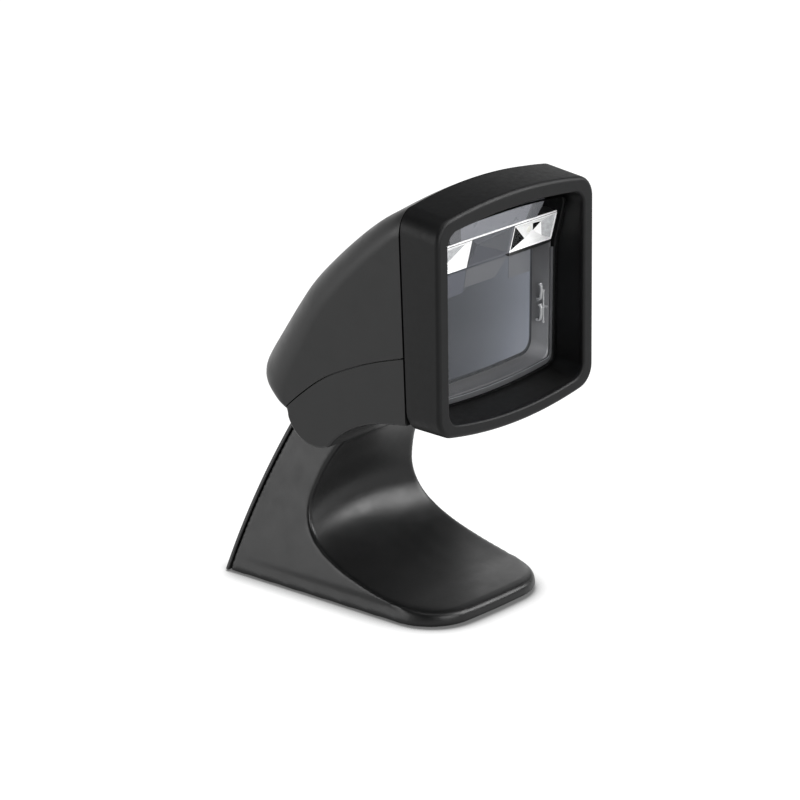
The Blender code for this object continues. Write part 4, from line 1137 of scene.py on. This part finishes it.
def stand_cavity():
    """The hollow under the stand's skin, which follows its throat."""
    wall = 2.3
    rings = [cavity_ring(-1.0, -37.6), cavity_ring(2.9, -37.0)]
    stations = THROAT_STATIONS[1:-2]
    for k, (height, front, _, dish) in enumerate(stations):
        before, after = around(stations, k)
        steep = (after[0] - before[0]) / math.hypot(after[0] - before[0], after[1] - before[1])
        flat = math.sqrt(1 - steep ** 2)
        y = front + max(dish, 0) + wall * steep + 0.6
        rings.append(cavity_ring(height - wall * flat, y))
    return loft("cavity", rings, HOUSING)


def arm_way():
    """The slanting passage through the stand for the pivot arm, with room round it."""
    spare = 0.6
    back = [(12.6, 62.0)] + [(y + spare, z + 0.2) for y, z in ARM_BACK]
    front = [(7.4, 62.0)] + [(y - spare, z - 0.2) for y, z in ARM_FRONT]
    half = ARM_WIDTH / 2 + 1 * MM
    rings = [[Vector((x, y * MM, z * MM)) for y, z in back + front[::-1]] for x in (-half, half)]
    return loft("arm_way", rings, HOUSING)


def stand_shell():
    """The stand's body, with every edge softened as moulded."""
    stations = STAND_STATIONS[:-1] + spline(THROAT_STATIONS, 10)
    rings = []
    for station in stations:
        inset = 0.7 * MM if station[0] < 1.2 else 0.0
        back = back_y(station[0] * MM) - COVER - COVER_GAP
        rings.append(stand_section(station, inset, back))
    body = loft("stand_body", rings, HOUSING)
    tools = [stand_cavity(), arm_way(),
             rod("cradle", BARREL_RADIUS + 1.0 * MM, (-40 * MM, PIVOT_Y, PIVOT_Z),
                 (40 * MM, PIVOT_Y, PIVOT_Z), 120)]
    settle(body, *tools)
    remesh = body.modifiers.new("Even skin", 'REMESH')
    remesh.mode = 'VOXEL'
    remesh.voxel_size = 0.55 * MM
    soften = body.modifiers.new("Soft edges", 'SMOOTH')
    soften.factor = 0.5
    soften.iterations = 5
    settle(body)
    body.data.shade_smooth()
    piece(body, "stand", "housing", "stand_shell")


def rear_cover():
    """The thin cover that closes the stand's back, with the cable's outlet at its foot."""
    rings = []
    top = 57.4
    steps = 40
    round_off = 1.4 * MM
    arc = [math.pi / 2 * k / 6 for k in range(7)]
    for k in range(steps + 1):
        z = (0.7 + (top - 0.7) * k / steps) * MM
        y = back_y(z)
        half = cheek_half(y, z)
        right = [Vector((half - round_off * (1 - math.cos(a)), y - round_off * (1 - math.sin(a)), z))
                 for a in arc]
        inner = [Vector((half - 0.25 * MM, y - COVER, z)),
                 Vector((half, y - COVER + 0.25 * MM, z))]
        side = inner + right
        rings.append(side + mirrored(side))
    cover = loft("back_cover", rings, HOUSING)
    tools = [rod("outlet", 3.2 * MM, (0, 30 * MM, 4.4 * MM), (0, 60 * MM, 4.4 * MM)),
             cuboid("mouth", (6.4 * MM, 30 * MM, 6 * MM), (0, 45 * MM, 1.4 * MM))]
    smooth(settle(cover, *tools))
    piece(cover, "stand", "housing", "rear_cover")


# ---------------------------------------------------------------- finish of the frame's own nodes

NODE_FINISH = {
    "steel": STEEL, "rubber": RUBBER, "cast_metal": CAST, "black_plastic": BLACK,
    "housing": HOUSING, "hood": HOOD, "gloss_black": LINER, "dark_panel": PANEL,
    "tray_grey": TRAY, "pale_grey": PALE, "clear_window": CLEAR, "mirror": MIRROR,
    "circuit_board": BOARD, "led_resin": RESIN,
}


def finish_nodes():
    """Give each node of the frame the material of its slot, for those that stay visible."""
    for row in frame["record"]["subparts"]:
        obj = frame["nodes"][row["node"]]
        for holder in obj.material_slots:
            holder.material = NODE_FINISH[row["material_slot"]]


# ---------------------------------------------------------------- studio

def area_light(name, size, power, place, aim):
    """A rectangular lamp: its size and place in metres, its power in watts."""
    data = bpy.data.lights.new(name, 'AREA')
    data.shape = 'RECTANGLE'
    data.size, data.size_y = size
    data.energy = power
    obj = bpy.data.objects.new(name, data)
    obj.location = place
    run = Vector(aim) - Vector(place)
    obj.rotation_euler = run.to_track_quat('-Z', 'Y').to_euler()
    bpy.context.scene.collection.objects.link(obj)
    return obj


def floor_paper():
    """White paper, lit from below like a light table, with a soft painted contact shadow where
    things stand.
    """
    made = surface("floor_paper", (0.18, 0.18, 0.18), 0.8, 0.01, 200, 5, 0.01, 0.1,
                   Specular_IOR_Level=0.0)
    tree = made.node_tree
    shader = tree.nodes["Principled BSDF"]
    # Ambient occlusion dims the glow near the object: painted contact shadow.
    contact_shade = node(tree, "ShaderNodeAmbientOcclusion")
    contact_shade.inputs["Distance"].default_value = 10 * MM
    contact_shade.samples = 16
    glow = ranged(tree, contact_shade.outputs["AO"], 0.12, 1.03, 0.45, 0.95)
    link(tree, glow, shader.inputs["Emission Strength"])
    shader.inputs["Emission Color"].default_value = (1, 1, 1, 1)
    return made


def sky():
    """Surroundings that glow near the horizon, most of all behind, and are dark overhead."""
    world = bpy.data.worlds.new("studio")
    bpy.context.scene.world = world
    world.use_nodes = True
    tree = world.node_tree
    background = tree.nodes["Background"]
    split = node(tree, "ShaderNodeSeparateXYZ")
    link(tree, node(tree, "ShaderNodeTexCoord").outputs["Generated"], split.inputs["Vector"])
    ramp = node(tree, "ShaderNodeValToRGB")
    full = 1.2
    stops = [(0.0, 1.15), (0.12, 1.0), (0.27, 0.8), (0.37, 0.4), (0.45, 0.06), (1.0, 0.06)]
    while len(ramp.color_ramp.elements) < len(stops):
        ramp.color_ramp.elements.new(0.5)
    for element, (spot, tone) in zip(ramp.color_ramp.elements, stops):
        element.position = spot
        element.color = (tone / full, tone / full, tone / full, 1.0)
    link(tree, split.outputs["Z"], ramp.inputs["Fac"])
    link(tree, ramp.outputs["Color"], background.inputs["Color"])
    strength = ranged(tree, split.outputs["Y"], 0.15, full, -0.45, 0.3)
    link(tree, strength, background.inputs["Strength"])


def studio():
    """The floor and the lights. Two lamps reach only the parts that catch them in the photograph."""
    bpy.context.scene.view_settings.view_transform = 'Standard'
    sky()
    bm = bmesh.new()
    bmesh.ops.create_grid(bm, x_segments=24, y_segments=24, size=3.0)
    floor = finished("floor", bm, floor_paper())
    area_light("overhead", (0.8, 0.8), 5.0, (-0.1, -0.1, 1.2), (0, 0, 0.05))
    kicker = area_light("saddle_kicker", (0.70, 0.70), 18.0, (0.54, -0.60, 0.65), (0.0, 0.0, 0.03))
    area_light("left_panel", (1.4, 0.7), 15.0, (-1.5, 0.95, 0.3), (0, 0, 0.05))
    area_light("front_panel", (0.6, 0.6), 9.0, (-0.25, -1.1, 0.45), (0, 0, 0.08))
    card = area_light("toe_card", (0.03, 0.03), 0.004, (0.062, 0.0, 0.026), (0.02, -0.03, 0.006))
    card.visible_camera = False
    bright_parts = ("stand_body", "hood_ring", "window_liner", "reflector_cup_right",
                    "reflector_cup_left", "lamp_bead", "light_hook_upper", "light_hook_lower",
                    "hook_rail", "hook_bar")
    for lamp, names in ((kicker, bright_parts), (card, ("stand_body",))):
        lit = bpy.data.collections.new(lamp.name + "_reach")
        for name in names:
            lit.objects.link(bpy.data.objects[name])
        lamp.light_linking.receiver_collection = lit


def camera():
    """The view of the photograph: a long lens from the front left and above."""
    scene = bpy.context.scene
    data = bpy.data.cameras.new("camera")
    data.lens = 166.07
    data.sensor_width = 36.0
    data.clip_start = 0.01
    obj = bpy.data.objects.new("camera", data)
    obj.location = (-0.83628, -0.74758, 0.46131)
    obj.rotation_euler = Vector((0.70226, 0.62806, -0.33521)).to_track_quat('-Z', 'Y').to_euler()
    scene.collection.objects.link(obj)
    scene.camera = obj


finish_nodes()
upper_shell()
lower_shell()
seam_tongue()
hood()
liner()
window_sheet()
window_seal()
tray()
inner_panel()
reflector("reflector_cup_right", 1, "reflector_right")
reflector("reflector_cup_left", -1, "reflector_left")
baffle()
pale_panel()
lamp_bead()
lamp_sill()
light_hook("light_hook_upper", 96.2, "light_pipe_upper")
light_hook("light_hook_lower", 89.2, "light_pipe_lower")
hook_rail()
button_cap()
jack_contacts()
stand_shell()
rear_cover()
for number in (1, 2, 3, 4):
    screw("head_screw_%d" % number, "shell_screw_%d" % number, 2.5 * MM, 1.6 * MM, "head")
    screw("plate_screw_%d" % number, "base_screw_%d" % number, 2.6 * MM, 0.75 * MM, "stand")
for spot in ("front_left", "front_right", "rear_left", "rear_right"):
    foot_pad("pad_" + spot, "foot_" + spot)
studio()
camera()
